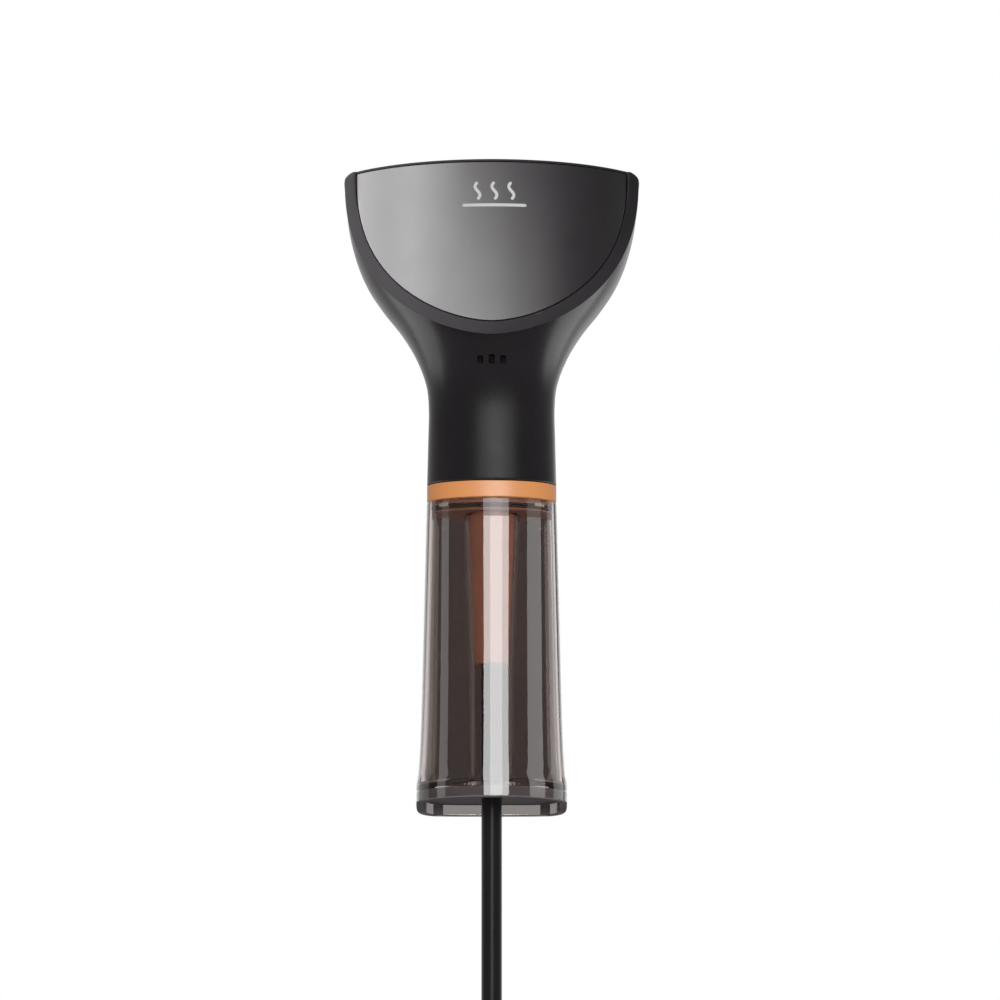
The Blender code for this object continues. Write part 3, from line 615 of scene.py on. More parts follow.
def cord_route():
    """Centre line from the sleeve's tip through the tank, round the hank's turns and to the plug."""
    high = HANK_TOP_Z - HANK_R - CORD_D / 2
    low = high - HANK_RUN
    bend = 0.055
    points = [Vector((0, 0, z)) for z in levels(SLEEVE_Z[1] - GAP, HANK_TOP_Z - GAP, 45)]
    start = points[-1].z
    points += s_bend(0, -HANK_R, start, start - bend, 0, 24)
    points += [Vector((-HANK_R, 0, z)) for z in levels(points[-1].z, low, 24)[1:]]
    arc, run = levels(0, pi, 25)[1:], levels(0, 1.0, 31)[1:]
    for i in range(HANK_TURNS - 1):
        y = i * HANK_PITCH
        points += [Vector((-HANK_R * cos(t), y, low - HANK_R * sin(t))) for t in arc]
        points += [Vector((HANK_R, y + HANK_PITCH * eased(t), low + HANK_RUN * t)) for t in run]
        y += HANK_PITCH
        points += [Vector((HANK_R * cos(t), y, high + HANK_R * sin(t))) for t in arc]
        end = low if i < HANK_TURNS - 2 else low - HANK_R - CORD_D / 2 + bend
        points += [Vector((-HANK_R, y, z)) for z in levels(high, end, 30)[1:]]
    end = points[-1]
    return points + s_bend(end.x, 0.0, end.z, end.z - bend, end.y, 24)


def make_cord():
    cord = tube("cord_line", cord_route(), CORD_D / 2, 6)
    dress(cord, "black_rubber", replaces=("mains_cord", "cord_hank"))
    pieces = [make_tie(), make_plug_body(), *make_plug_pins()]


def rounded_loop(half_x, y0, y1, radius, z):
    """A rounded rectangle's outline at a height."""
    points = []
    for cx, cy, start in ((half_x - radius, y1 - radius, 0), (-half_x + radius, y1 - radius, 90),
                          (-half_x + radius, y0 + radius, 180), (half_x - radius, y0 + radius, 270)):
        for t in levels(radians(start), radians(start + 90), 13):
            points.append(Vector((cx + radius * cos(t), cy + radius * sin(t), z)))
    return points


def make_tie():
    """Hook-and-loop strap round the middle of the hank, with its lapped end."""
    half_x = HANK_R + CORD_D / 2
    y0, y1 = -CORD_D / 2, CORD_D / 2 + (HANK_TURNS - 1) * HANK_PITCH
    mid_z = HANK_TOP_Z - half_x - HANK_RUN / 2
    half_h, inner, outer, soft = 0.006, GAP, 0.0014, 0.0004

    def loop(offset, z):
        return rounded_loop(half_x + offset, y0 - offset, y1 + offset, 0.004 + offset, z)

    low, high = mid_z - half_h, mid_z + half_h
    rings = [loop(inner, low), loop(outer - soft, low), loop(outer, low + soft),
             loop(outer, high - soft), loop(outer - soft, high), loop(inner, high)]
    band = loft("cord_tie_band", rings, closed=True)
    lap = block("cord_tie_lap", (-0.006, y0 - 0.0019, low + 0.0006),
                (0.021, y0 - outer + 0.0001, high - 0.0006))
    soften(lap, 0.0003)
    strap = join("cord_tie_strap", [band, lap])
    return dress(strap, "black_rubber", replaces=("cord_tie",), finish="tie_weave")


def plug_places():
    y = (HANK_TURNS - 1) * HANK_PITCH
    base_z = HANK_TOP_Z - 2 * (HANK_R + CORD_D / 2) - HANK_RUN
    return y, [base_z + z for z in PLUG_Z]


def make_plug_body():
    """Moulded two-pin plug with a ribbed strain relief and finger hollows at its sides."""
    y, (relief_top, body_top, face) = plug_places()

    def section(half_x, half_y, z, power):
        points = []
        for t in full_turn(96):
            c, s = signed_power(cos(t), power), signed_power(sin(t), power)
            points.append(Vector((half_x * c, y + half_y * s, z)))
        return points

    rings = []
    ribs = 6
    neck = relief_top - body_top
    for share in levels(0, 1.0, ribs * 6 + 1):
        groove = 0.0007 * (0.5 - 0.5 * cos(2 * pi * ribs * share)) * (1 - share ** 6)
        radius = 0.0047 + 0.0018 * share - groove
        rings.append(section(radius, radius, relief_top - neck * 0.82 * share, 1.0))
    shoulder = relief_top - neck * 0.82
    for t in levels(0, 1.0, 13)[1:]:
        grow = sin(pi / 2 * t)
        rings.append(section(0.0065 + 0.0078 * grow, 0.0065 + 0.0048 * grow,
                             shoulder + (body_top - 0.004 - shoulder) * t ** 1.3, 1.0 - 0.25 * t))
    for t in levels(0, 1.0, 25)[1:]:
        z = body_top - 0.004 + (face + 0.0012 - body_top + 0.004) * t
        hollow = 0.0013 * exp(-((t - 0.45) / 0.22) ** 2)
        rings.append(section(0.0143 + 0.0031 * t - hollow, 0.0113 + 0.0011 * t, z, 0.75 - 0.05 * t))
    for inset, drop in rounding(0.0012, 5)[1:]:
        rings.append(section(0.0174 - inset, 0.0124 - inset, face + drop, 0.7))
    body = loft("plug_shell", rings, sharp=50.0)
    return dress(body, "black_rubber", replaces=("plug_body",))


def make_plug_pins():
    y, (_, _, face) = plug_places()
    pins = []
    profile = [(0.0021, -GAP), (0.0021, -0.0098), (0.002, -0.01), (0.0024, -0.0101),
               (0.0024, -0.0165)]
    profile += [(0.0024 - i, -0.019 + d) for i, d in rounding(0.0019, 6)[1:]]
    for side, name in ((-1, "left"), (1, "right")):
        pin = turned(f"plug_contact_{name}", profile, at=(side * 0.0095, y, face), count=48)
        pins.append(dress(pin, "steel", replaces=(f"plug_pin_{name}",)))
    return pins


# ---- housing ----
def housing_blank(name):
    """The whole moulded housing, with soft edges at its top and lower end."""
    outer = [neck_ring(inset, NECK_END_Z + drop) for inset, drop in rounding(GAP, 3)[::-1]]
    outer += [oval(HOUSING, z) for z in levels(NECK_END_Z + 0.001, TOP_Z - 0.0009, 96)]
    outer += [oval(HOUSING, TOP_Z - drop, inset) for inset, drop in rounding(0.0007, 5)]
    inner = [oval(HOUSING, z, WALL) for z in levels(TOP_Z - WALL, NECK_END_Z, 30)]
    return loft(name, inner + outer)


def slot_blocks(name, half, y0, y1, below, tall, edge):
    """A soft-edged block at each indicator slot; the middle one is taller."""
    blocks = []
    for i, x in enumerate(SLOT_X):
        top = SLOT_Z + tall + (0.0004 if x == 0.0 else 0.0)
        piece = block(f"{name}_{i}", (x - half, y0, SLOT_Z - below), (x + half, y1, top))
        blocks.append(soften(piece, edge))
    return blocks


def make_housing():
    shell = housing_blank("housing_shell")
    space = block("cover_space", (-0.05, COVER_Y - GAP, NECK_END_Z - 0.01),
                  (0.05, 0.05, COVER_TOP_Z + GAP))
    opening = loft("head_opening", [back_ring(0.0075, y) for y in (-0.05, 0.05)])
    slots = slot_blocks("slot", 0.00105, -0.02, -0.005, 0.0015, 0.0015, 0.0004)
    carve(shell, [space, opening, *slots], sharp=32.0)
    dress(shell, "satin_black", replaces=("main_housing",))


def hole(name, radius, low, high, at):
    """A round cutter along Y, with its ends relative to its place."""
    return turned(name, ((radius, low), (radius, high)), at, "Y", count=96 if radius > 0.004 else 48)


def make_cover():
    """Rear cover of the neck, with the trigger's window, the button's hole and two screw holes."""
    cover = housing_blank("neck_cover")
    kept = block("cover_limits", (-0.05, COVER_Y - GAP + SEAM, NECK_END_Z - 0.01),
                 (0.05, 0.05, COVER_TOP_Z + GAP - SEAM))
    carve(cover, [kept], "INTERSECT")
    half = TRIGGER_HALF_W + GAP
    window = block("trigger_window", (-half, 0.012, 0.006), (half, 0.04, 0.034))
    cutters = [soften(window, 0.0012),
               hole("button_hole", BUTTON_R + GAP, -0.004, 0.01, (0, 0.018, BUTTON_Z))]
    cutters += [hole(f"screw_hole_{side}", 0.0024, 0.0, 0.02, (side * SCREW_X, SCREW_Y, SCREW_Z))
                for side in (-1, 1)]
    carve(cover, cutters, sharp=32.0)
    dress(cover, "satin_black", replaces=("neck_rear_cover",))


def make_light_guide():
    """Smoked lenses behind the three slots."""
    lenses = slot_blocks("lens", 0.00098, -0.0156, -0.009, 0.0014, 0.0014, 0.0003)
    bar = block("lens_bar", (-0.0065, -0.0104, 0.0252), (0.0065, -0.0088, 0.03))
    dress(join("indicator_lenses", [bar, *lenses]), "light_guide", replaces=("indicator_light_guide",))


# ---- head ----
def rim_ring(blend, inset, forward):
    """A loop of the rim: blend 0 at the panel's edge and 1 at the housing, inset into its wall."""
    half = RIM_HALF + blend * (RIM_REAR_HALF - RIM_HALF)
    drop = RIM_DROP + blend * (RIM_REAR_DROP - RIM_DROP)
    ring = []
    for x, z in half_moon(half, drop, inset, rim_shape(blend)):
        front = panel_front(x) + forward
        rear = housing_front(x, z) - GAP
        ring.append(Vector((x, front + blend * (rear - front), z)))
    return ring


def make_rim():
    """Band round the front panel, with a seat that the panel's edge lies in."""
    seat, seat_blend = PANEL_T + 2 * GAP, 0.12
    lip = 0.00022
    rings = [rim_ring(0.0, lip, 0.0), rim_ring(0.0, lip * 0.3, lip * 0.3), rim_ring(0.0, 0.0, lip)]
    rings += [rim_ring(blend, 0.0, 0.0) for blend in levels(0.04, 0.97, 20)]
    rings += [rim_ring(1.0, inset, 0.0) for inset in (0.0, 0.0003, 0.0007, 0.0013, RIM_WALL)]
    rings += [rim_ring(seat_blend, RIM_WALL, seat), rim_ring(seat_blend, RIM_LIP, seat),
              rim_ring(0.0, RIM_LIP, lip), rim_ring(0.0, RIM_LIP - lip * 0.5, 0.0)]
    rim = loft("panel_rim", rings, closed=True, sharp=30.0)
    dress(rim, "satin_black", replaces=("head_rim",), finish="rim_black")


def make_panel():
    """Curved cover in concentric half-moon rows, with a small round at its edge."""
    centre_z = TOP_Z - 0.4 * PANEL_DROP
    soft = 0.00025

    def row(share, depth, inset=0.0):
        outline = half_moon(RIM_HALF, RIM_DROP, RIM_LIP + GAP + inset, PANEL_SHAPE)
        return [Vector((x * share, panel_front(x * share) + PANEL_BACK_OFF + depth,
                        centre_z + (z - centre_z) * share)) for x, z in outline]

    rings = [row(s, 0.0) for s in levels(0.02, 0.985, 44)]
    rings += [row(1.0, drop, inset) for inset, drop in rounding(soft, 4)[::-1]]
    rings += [row(1.0, PANEL_T - PANEL_BACK_OFF)]
    rings += [row(s, PANEL_T - PANEL_BACK_OFF) for s in levels(0.95, 0.05, 12)]
    dress(loft("panel_cover", rings), "gloss_black", replaces=("front_panel",))


def stroke(name, line, width):
    """A flat printed stroke with round ends along (x, z) points of the panel."""
    lengths = [0.0]
    for a, b in zip(line, line[1:]):
        lengths.append(lengths[-1] + dist(a, b))
    total, r = lengths[-1], width / 2
    left, right = [], []
    for i, (x, z) in enumerate(line):
        ax, az = line[max(i - 1, 0)]
        bx, bz = line[min(i + 1, len(line) - 1)]
        size = hypot(bx - ax, bz - az)
        nx, nz = -(bz - az) / size, (bx - ax) / size
        end = min(lengths[i], total - lengths[i], r)
        w = sqrt(max(r * r - (r - end) ** 2, (0.12 * r) ** 2))
        left.append((x + nx * w, z + nz * w))
        right.append((x - nx * w, z - nz * w))
    outline = left + right[::-1]
    verts = [Vector((x, panel_front(x) + depth, z)) for depth in (PRINT_FRONT, PRINT_BACK)
             for x, z in outline]
    count = len(outline)
    faces = [(i, (i + 1) % count, count + (i + 1) % count, count + i) for i in range(count)]
    for i in range(len(line) - 1):
        quad = (i, i + 1, count - 2 - i, count - 1 - i)
        faces += [quad, tuple(count + k for k in quad[::-1])]
    return mesh_object(name, verts, faces)


def make_pictogram():
    """Generic steam sign: three wavy strokes over a flat bar."""
    centre_x, low_z, height, width = 0.001, 0.0821, 0.0091, 0.0011
    wave_low = low_z + 0.0026
    bar = [(centre_x + x, low_z + width / 2) for x in levels(-0.0118, 0.0118, 60)]
    strokes = [stroke("steam_bar", bar, width)]
    for i in (-1, 0, 1):
        line = [(centre_x + i * 0.0062 + 0.0009 * sin(2 * pi * t),
                 wave_low + t * (low_z + height - wave_low)) for t in levels(0, 1.0, 48)]
        strokes.append(stroke(f"steam_wave_{i}", line, width))
    dress(join("steam_pictogram", strokes), "nylon", finish="white_print")


def make_plate_frame():
    """Frame of the steam plate, with a skirt that meets the housing's rounded back."""
    y0, y1 = BEZEL_Y[0] - GAP + SEAM, BEZEL_Y[1]
    rings = [[Vector((p.x, min(y0, housing_back(p.x, p.z) + 0.0001), p.z)) for p in back_ring(0.0, y0)]]
    rings += [back_ring(0.0, y) for y in (y0 + 0.0002, (y0 + y1) / 2)]
    rings += [back_ring(inset, y1 - drop) for inset, drop in rounding(0.0012, 6)]
    rings += [back_ring(BEZEL_W - inset, y1 - drop) for inset, drop in rounding(0.0004, 4)[::-1]]
    rings += [back_ring(BEZEL_W, y0)]
    dress(loft("plate_frame", rings, closed=True), "satin_black", replaces=("plate_bezel",))


def steam_holes(y):
    """Cutters of the two bowed rows of countersunk steam holes."""
    profile = ((0.0013, -0.01), (0.0013, -0.0005), (0.0019, 0.0001), (0.0019, 0.001))
    drills = []
    for scale, count in ((0.72, 11), (0.46, 7)):
        for i in range(count):
            t = pi * (i + 0.5) / count
            x, z = -0.044 * scale * cos(t), TOP_Z - 0.015 - 0.038 * scale * sin(t)
            drills.append(turned(f"drill_{scale}_{i}", profile, (x, y, z), "Y", count=32))
    return join("drills", drills)


def make_steam_plate():
    """Steam plate with a soft edge, a pressed groove near it and the steam holes."""
    inset = BEZEL_W + GAP
    y0, y1 = PLATE_Y
    rings = [back_ring(inset, y) for y in (y0, (y0 + y1) / 2)]
    rings += [back_ring(inset + i, y1 - d) for i, d in rounding(0.001, 6)]
    groove = ((0.0034, 0.0), (0.0037, 0.0003), (0.0046, 0.0003), (0.0049, 0.0))
    rings += [back_ring(inset + extra, y1 - depth) for extra, depth in groove]
    plate = loft("sole_plate", rings, sharp=25.0)
    carve(plate, [steam_holes(y1)], sharp=25.0)
    dress(plate, "plate_metal", replaces=("steam_plate",))


# ---- trigger, button, screws ----
def pad_y(share):
    """The trigger's crowned face at a share of the way down it."""
    return PAD_Y + PAD_CROWN * sin(pi * share)


def make_trigger():
    pad = [(pad_y(share), PAD_TOP_Z - PAD_H * share) for share in levels(0, 1.0, 41)]
    inside = [(0.0175, 0.0068), (0.0168, 0.012), (0.016, 0.024), (0.0148, 0.0275), (0.0152, 0.031)]
    rings = [[Vector((x, y, z)) for y, z in pad + inside] for x in (-TRIGGER_HALF_W, TRIGGER_HALF_W)]
    lever = loft("trigger_lever", rings)
    bore = ((PIN_R + GAP, -0.02), (PIN_R + GAP, 0.02))
    carve(lever, [turned("lever_bore", bore, (0, PIN_Y, PIN_Z), "X", count=48)])
    grip, grooves = ((0.0006, -0.0042), (0.0006, 0.0042)), []
    for i in range(5):
        z = 0.0135 + i * 0.0032
        y = pad_y((PAD_TOP_Z - z) / PAD_H) + 0.00022
        grooves.append(turned(f"grip_{i}", grip, (0, y, z), "X", count=20))
    carve(lever, grooves)
    soften(lever, 0.0005, 50.0, 40.0)
    dress(lever, "satin_black", "trigger", ("steam_trigger",))


def make_button():
    top, r = 0.0068, BUTTON_R
    profile = [(r + 0.0012, 0.0), (r + 0.0012, 0.0013), (r + 0.001, 0.0014), (r, 0.0016),
               (r, top - 0.0006)]
    profile += [(r - i, top - d) for i, d in rounding(0.0006, 5)[1:]]
    profile += [(r * s, top - 0.0005 * (1 - s * s)) for s in (0.8, 0.65)]
    profile += [(r * 0.6, top - 0.0008), (r * 0.5, top - 0.0008)]
    profile += [(r * s, top - 0.0005 * (1 - s * s)) for s in (0.45, 0.3, 0.15, 0.05)]
    button = turned("push_button", profile, (0.0, 0.0162, BUTTON_Z), "Y")
    dress(button, "satin_black", "button", ("power_button",))


def make_screws():
    for i, side in enumerate((-1, 1)):
        profile = [(0.0012, -0.004), (0.0012, 0.003), (0.0021, 0.0031), (0.0021, 0.0043)]
        profile += [(0.0021 - a, 0.0048 - d) for a, d in rounding(0.0005, 4)[1:]]
        x, y, z = side * SCREW_X, SCREW_Y, SCREW_Z
        screw = turned(f"cover_screw_head_{i + 1}", profile, (x, y, z), "Y", count=48)
        arms = [block(f"recess_{n}", (x - a, y + 0.0036, z - b), (x + a, y + 0.01, z + b))
                for n, (a, b) in enumerate(((0.0013, 0.0003), (0.0003, 0.0013)))]
        carve(screw, arms)
        dress(screw, "steel", replaces=(f"cover_screw_{i + 1}",))


# ---- ring, collar, sleeve, tank ----
def make_ring():
    z0, z1 = NECK_END_Z - GAP, NECK_END_Z - GAP - RING_H
    soft = 0.00025
    rings = [neck_ring(inset, z0 - drop) for inset, drop in rounding(soft, 3)[::-1]]
    rings += [neck_ring(0.0, z) for z in levels(z0 - 0.0008, z1 + 0.0008, 6)]
    rings += [neck_ring(inset, z1 + drop) for inset, drop in rounding(soft, 3)]
    rings += [neck_ring(0.0026, z1), neck_ring(0.0026, z0)]
    dress(loft("orange_ring", rings, closed=True), "orange_plastic", replaces=("tank_ring",))


def make_lugs():
    """The two small lugs at the front of the collar that the tank latches on."""
    proud, sunk = COLLAR_SIDE - 0.00025, COLLAR_SIDE + 0.0003
    low, high = LUG_Z
    corners = ((proud, low), (proud, high), (sunk, high), (sunk, low))
    band = loft("lug_band", [neck_ring(inset, z) for inset, z in corners], closed=True)
    limits = [block(f"lug_limit_{x}", (x - LUG_HALF, -0.03, low - 0.001),
                    (x + LUG_HALF, 0.0, high + 0.001)) for x in (-LUG_X, LUG_X)]
    return carve(band, [join("lug_limits", limits)], "INTERSECT")


def make_collar():
    """Bayonet collar that the tank pushes on to, with its two latch lugs."""
    side, groove, bore = COLLAR_SIDE, COLLAR_GROOVE, SLEEVE_R[0] + GAP
    foot, body = COLLAR_FOOT_Z, COLLAR_BODY_Z
    sections = ((side + 0.0006, foot), (side + 0.0002, foot + 0.0002), (side, foot + 0.0005),
                (side, -0.0268), (groove, -0.0266), (groove, -0.0249), (side, body),
                (side, COLLAR_HEAD_Z), (side + 0.002, COLLAR_HEAD_Z), (side + 0.002, body))
    rings = [neck_ring(inset, z) for inset, z in sections]
    inner = ((bore, body), (bore, foot + 0.0012), (bore + 0.0008, foot + 0.0012), (bore + 0.0008, foot))
    rings += [circle(radius, z) for radius, z in inner]
    collar = loft("collar_core", rings, closed=True, sharp=25.0)
    core_faces = len(collar.data.polygons)
    collar = join("collar_body", [collar, make_lugs()])
    dress(collar, "black_rubber", replaces=("tank_collar",), finish="collar_brown")
    # the lugs' near-white finish is a painted glint
    collar.data.materials.append(FINISHES["lug_tan"].material)
    for polygon in collar.data.polygons[core_faces:]:
        polygon.material_index = 1


def make_seal():
    """O-ring in the collar's groove."""
    thick = 0.00065
    rings = [neck_ring(0.0036 - thick * cos(t), -0.02575 + thick * sin(t))
             for t in full_turn(16)]
    dress(loft("collar_seal", rings, closed=True, sharp=80.0), "silicone", replaces=("tank_seal",))


def make_sleeve():
    z0, z1 = SLEEVE_Z
    r0, r1 = SLEEVE_R
    soft = 0.0012
    profile = [(r1 - i, z1 + d) for i, d in rounding(soft, 8)[::-1]]
    profile += [(r1 + (r0 - r1) * (z - z1) / (z0 - z1), z) for z in levels(z1 + soft + 0.0006, z0, 40)]
    profile += [(r0, -0.018)]
    profile = [(CORD_D / 2 + 0.0002, z1 + 0.001), (CORD_D / 2 + 0.0002, z1)] + profile
    dress(turned("relief_sleeve", profile, count=128), "orange_sleeve", replaces=("cable_sleeve",))


def tunnel_inner(z):
    share = (SLEEVE_Z[0] - z) / (SLEEVE_Z[0] - SLEEVE_Z[1])
    return SLEEVE_R[0] + TUNNEL_GAP + min(share, 1.0) * (SLEEVE_R[1] - SLEEVE_R[0])


FOOT_FLARE_H, FOOT_FLARE = 0.006, 0.0008
CORNER_R = 0.001  # round between the tank's floor and its inner wall
# the recess's rear wall is clear only here and in the corner strips; beside them it gets painted shade
WINDOW_HALF = 0.0176  # half width of the clear part of the recess's rear wall
CORNER_LIGHT = (0.0214, 0.024)  # the clear strips beside it, at the recess's corners
MOUTH = (0.0208, -0.0306)  # half width and lower end of the tank's thicker mouth
FLOOR_END_X = 0.015  # beyond it, at both ends, the tank floor gets an opaque lighter finish: painted light
TANK_FINISHES = ("smoke_clear", "tunnel_clear", "foot_grey", "foot_wall", "smoke_thin", "smoke_upper",
                 "floor_end")


def tunnel_outer(z, floor_z):
    """The tunnel's outside, which spreads like a trumpet into the tank floor."""
    rise = max(0.0, 1 - (z - floor_z) / FOOT_FLARE_H)
    return tunnel_inner(z) + TUNNEL_T + FOOT_FLARE * rise ** 2.2


def foot_ring(inset, z=TANK_BASE_Z):
    """The tank's outline at its base, inset and moved to a height."""
    return oval(TANK, TANK_BASE_Z, inset, z)


def between(first, second):
    """Ten rings from one outline to the other, without the first."""
    return [[a.lerp(b, share) for a, b in zip(first, second)] for share in levels(0.1, 1.0, 10)]


def tank_outside():
    rings = [oval(TANK, TANK_TOP_Z, inset, TANK_TOP_Z - drop)
             for inset, drop in rounding(0.0003, 3)[::-1]]
    return rings + [oval(TANK, z) for z in levels(TANK_TOP_Z - 0.001, TANK_BASE_Z + 0.001, 110)]


def tank_foot(floor_low):
    """The foot's brim, the recess's wall and its ceiling up to the tunnel."""
    bore = tunnel_inner(floor_low)
    rings = [foot_ring(inset, TANK_BASE_Z + drop) for inset, drop in rounding(0.0005, 4)]
    rings += [foot_ring(TANK_WALL - inset, TANK_BASE_Z + drop)
              for inset, drop in rounding(0.0003, 3)[::-1]]
    rings += [foot_ring(TANK_WALL, z) for z in levels(TANK_BASE_Z + 0.0012, floor_low - 0.001, 4)]
    rings += [foot_ring(TANK_WALL + inset, floor_low - drop) for inset, drop in rounding(0.0008, 4)]
    rings += between(foot_ring(TANK_WALL + 0.0008, floor_low), circle(bore + 0.0006, floor_low))
    return rings + [circle(bore + inset, floor_low + drop)
                    for inset, drop in rounding(0.0006, 3)[::-1][1:]]


def tank_tunnel(floor_low, floor_high):
    """The tunnel: up its bore, over its rim and down its outside to the floor."""
    top, lip = SLEEVE_Z[0] - GAP, 0.0003
    rings = [circle(tunnel_inner(z), z) for z in levels(floor_low + 0.0012, top - lip, 40)]
    rings += [circle(tunnel_inner(top) + TUNNEL_T / 2 + TUNNEL_T / 2 * sin(t),
                     top - lip + lip * cos(t)) for t in levels(-pi / 2, pi / 2, 6)]
    heights = levels(top - 0.0008, floor_high + FOOT_FLARE_H, 34)
    heights += levels(floor_high + FOOT_FLARE_H, floor_high, 24)[1:]
    return rings + [circle(tunnel_outer(z, floor_high), z) for z in heights]


def tank_inside(floor_high):
    inset_low = TANK_WALL + 0.001
    rings = [foot_ring(inset_low + inset, floor_high + drop)
             for inset, drop in rounding(CORNER_R, 6)[::-1][1:]]
    rings += [oval(TANK, z, TANK_WALL) for z in levels(-0.1238, TANK_TOP_Z - 0.0006, 80)]
    return rings + [oval(TANK, TANK_TOP_Z, TANK_WALL - inset, TANK_TOP_Z - drop)
                    for inset, drop in rounding(0.0003, 3)]


def make_tank():
    """Smoky tank with its recessed floor and the clear tunnel for the cord, moulded in one."""
    floor_low = TANK_BASE_Z + RECESS_H
    floor_high = floor_low + FLOOR_T
    floor = between(circle(tunnel_outer(floor_high, floor_high), floor_high),
                    foot_ring(TANK_WALL + 0.001 + CORNER_R, floor_high))
    starts, rings = [], []
    for part in (tank_outside(), tank_foot(floor_low), tank_tunnel(floor_low, floor_high), floor,
                 tank_inside(floor_high)):
        starts.append(len(rings))
        rings += part
    tank = loft("clear_tank", rings, closed=True, sharp=60.0)
    dress(tank, "smoke_clear", "tank", ("water_tank", "tank_tunnel"))
    for finish in TANK_FINISHES[1:]:
        tank.data.materials.append(FINISHES[finish].material)
    for polygon in tank.data.polygons:
        numbers = [vertex // SIDES for vertex in polygon.vertices]
        finish = tank_finish(min(numbers), max(numbers), polygon.center, starts)
        polygon.material_index = TANK_FINISHES.index(finish)


def tank_finish(first, last, place, starts):
    """The finish of a tank face between its first and last ring."""
    _, foot, tunnel, floor, inside = starts
    if tunnel <= first and last <= floor:
        return "tunnel_clear"
    if foot <= first and last <= tunnel:
        return foot_finish(place)
    if abs(place.x) < MOUTH[0] and place.z > MOUTH[1]:
        return "smoke_upper"
    # the floor's ends beyond FLOOR_END_X get painted light
    if abs(place.x) > FLOOR_END_X and floor <= first and last <= inside + 3:
        return "floor_end"
    return "smoke_clear"


def foot_finish(place):
    """The finish of a face of the foot: painted shade, dark in front and above and lighter behind, with
    clear parts where light shows through.
    """
    back = station(TANK, TANK_BASE_Z)[2]
    height = place.z - TANK_BASE_Z
    brim = 0.00005 < height < 0.0004 and place.y < back - 0.8 * TANK_WALL
    if brim or place.y < 0.6 * back or height > RECESS_H - 0.0004:
        return "foot_grey"
    across = abs(place.x)
    clear = across < 0.02
    if height >= 0.0001:
        clear = across < WINDOW_HALF or CORNER_LIGHT[0] < across < CORNER_LIGHT[1]
    return "smoke_thin" if clear else "foot_wall"


def make_pickup():
    """Hose from the collar to a slotted filter weight near the tank floor."""
    z_end = -0.112
    line = []
    for z in levels(-0.0278, z_end, 61):
        shift = min(max((-0.055 - z) / 0.04, 0.0), 1.0)
        line.append((0.0, HOSE_Y + 0.001 * eased(shift), z))
    dress(tube("pickup_tube", line, 0.0017, 5), "silicone", replaces=("pickup_hose",))
    profile = [(0.0028, -0.014), (0.0034, -0.0138), (0.0036, -0.0134)]
    for i in range(5):
        z = -0.012 + i * 0.0018
        profile += [(0.0036, z), (0.0032, z + 0.0003), (0.0032, z + 0.0007), (0.0036, z + 0.001)]
    profile += [(0.0036, -0.0024), (0.0032, -0.0016), (0.0022, -0.0012), (0.0022, -GAP)]
    weight = turned("filter_head", profile, (0.0, HOSE_Y + 0.001, z_end), count=64)
    dress(weight, "steel", replaces=("filter_weight",))


# ---- CAD nodes that stay: their finish by slot ----
def dress_frame():
    slots = {entry["node"]: entry["material_slot"] for entry in frame["record"]["subparts"]}
    for name, obj in frame["nodes"].items():
        if obj.hide_render:
            continue
        obj.data.materials.clear()
        obj.data.materials.append(FINISHES[slots[name]].material)
        for polygon in obj.data.polygons:
            polygon.material_index = 0


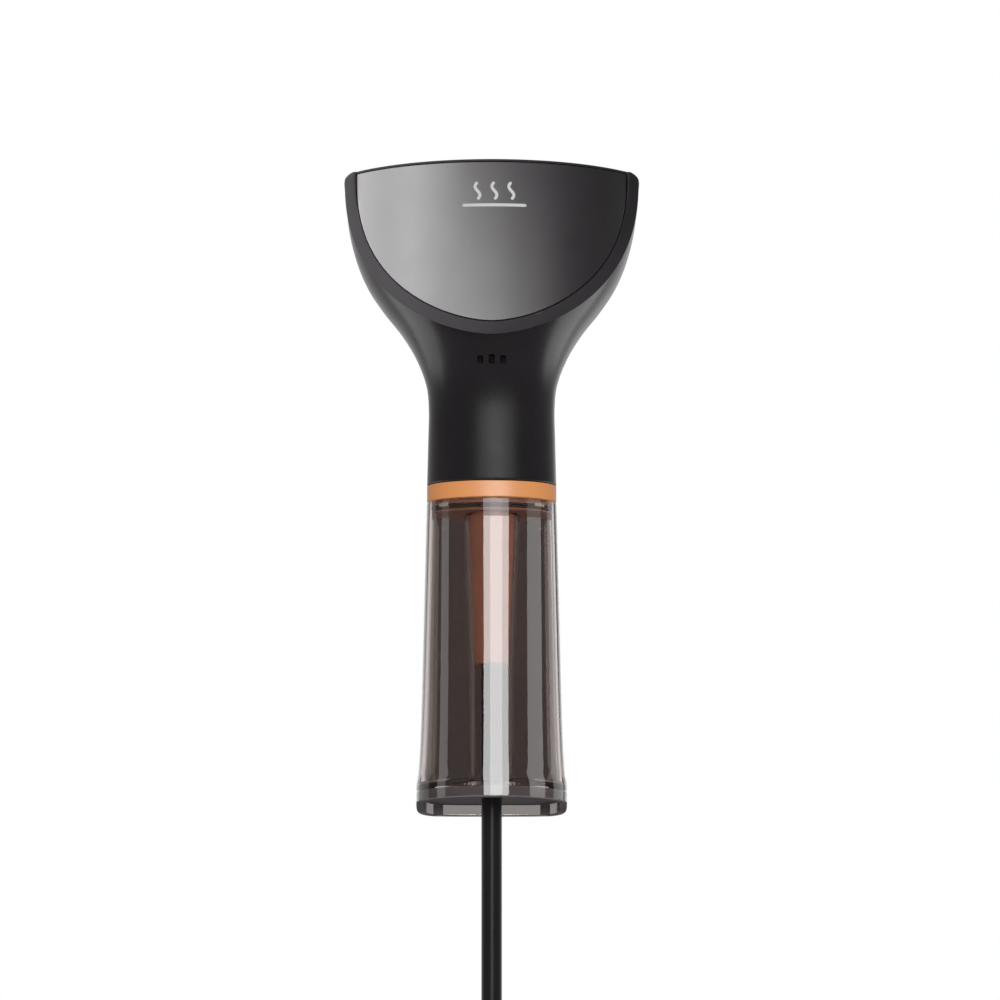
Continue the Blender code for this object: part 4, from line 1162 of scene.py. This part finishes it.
# Name, azimuth, elevation, distance, size, radiance, height aimed at, and the pieces it lights
CLEAR_PIECES = ("clear_tank", "relief_sleeve", "collar_body")
NECK_PIECES = ("housing_shell", "neck_cover")
LAMPS = (
    ("front_strip", 4.8, 14, 1.55, (0.72, 1.25), 11.5, -0.06, ("clear_tank", "collar_body")),
    ("front_core", 4.8, 14, 1.45, (0.32, 1.2), 4.6, -0.06, ("clear_tank",)),
    ("sleeve_strip", 4.8, 14, 1.55, (0.72, 1.25), 7.4, -0.06, ("orange_ring", "relief_sleeve")),
    ("cord_strip", 4.8, 14, 1.55, (0.4, 1.25), 4.8, -0.06, ("cord_line",)),
    ("neck_strip", 4.8, 15, 1.5, (0.34, 0.54), 1.6, 0.0, NECK_PIECES),
    ("neck_wide", 4.8, 15, 1.6, (1.1, 0.58), 1.6, 0.0, NECK_PIECES),
    ("sign_box", 4.8, 19.5, 1.6, (0.72, 0.52), 9.0, 0.0, ("steam_pictogram",)),
    ("right_box", 55, 16, 1.3, (0.58, 1.2), 3.3, -0.06, CLEAR_PIECES),
    ("left_band", -62, 16, 1.3, (0.34, 1.2), 2.1, -0.06, CLEAR_PIECES),
    ("right_edge_box", 106, 6, 1.2, (0.8, 1.6), 2.0, -0.05, CLEAR_PIECES),
    ("left_edge_box", -115, 6, 1.2, (1.1, 1.6), 0.8, -0.05, CLEAR_PIECES),
    ("left_box", -95, 10, 0.9, (1.6, 1.2), 8.0, 0.1, ("panel_cover",)),
    ("left_fill", -44, 10, 1.1, (0.7, 1.2), 9.4, 0.1, ("panel_cover",)),
    ("panel_low", -8, 0, 0.22, (0.15, 0.165), 9.0, 0.023, ("panel_cover",)),
    ("panel_low_right", 26, 0, 0.21, (0.09, 0.165), 3.4, 0.023, ("panel_cover",)),
    ("rim_left", -90, 0, 0.9, (1.2, 1.2), 3.2, 0.1, ("panel_rim",)),
    ("rim_low", -10, -38, 1.1, (1.2, 0.5), 4.4, 0.05, ("panel_rim",)),
    ("neck_right", 145, 8, 1.2, (0.6, 1.6), 0.4, 0.0, NECK_PIECES),
    ("right_back_box", 152, 6, 1.2, (0.7, 1.6), 1.0, -0.05, ("clear_tank",)),
    ("left_back_box", -152, 6, 1.2, (0.7, 1.6), 1.0, -0.05, ("clear_tank",)),
    ("flare_left", -92, -25, 1.0, (0.8, 0.7), 2.4, 0.05, ("housing_shell",)),
    ("flare_right", 99, -25, 1.0, (0.8, 0.7), 2.8, 0.05, ("housing_shell",)),
)

for make in (make_camera, make_world, make_floor, make_cord, make_housing, make_cover, make_rim,
             make_panel, make_pictogram, make_plate_frame, make_steam_plate, make_light_guide,
             make_trigger, make_button, make_screws, make_ring, make_collar, make_seal, make_sleeve,
             make_tank, make_pickup, dress_frame):
    make()
for lamp_settings in LAMPS:
    softbox(*lamp_settings)
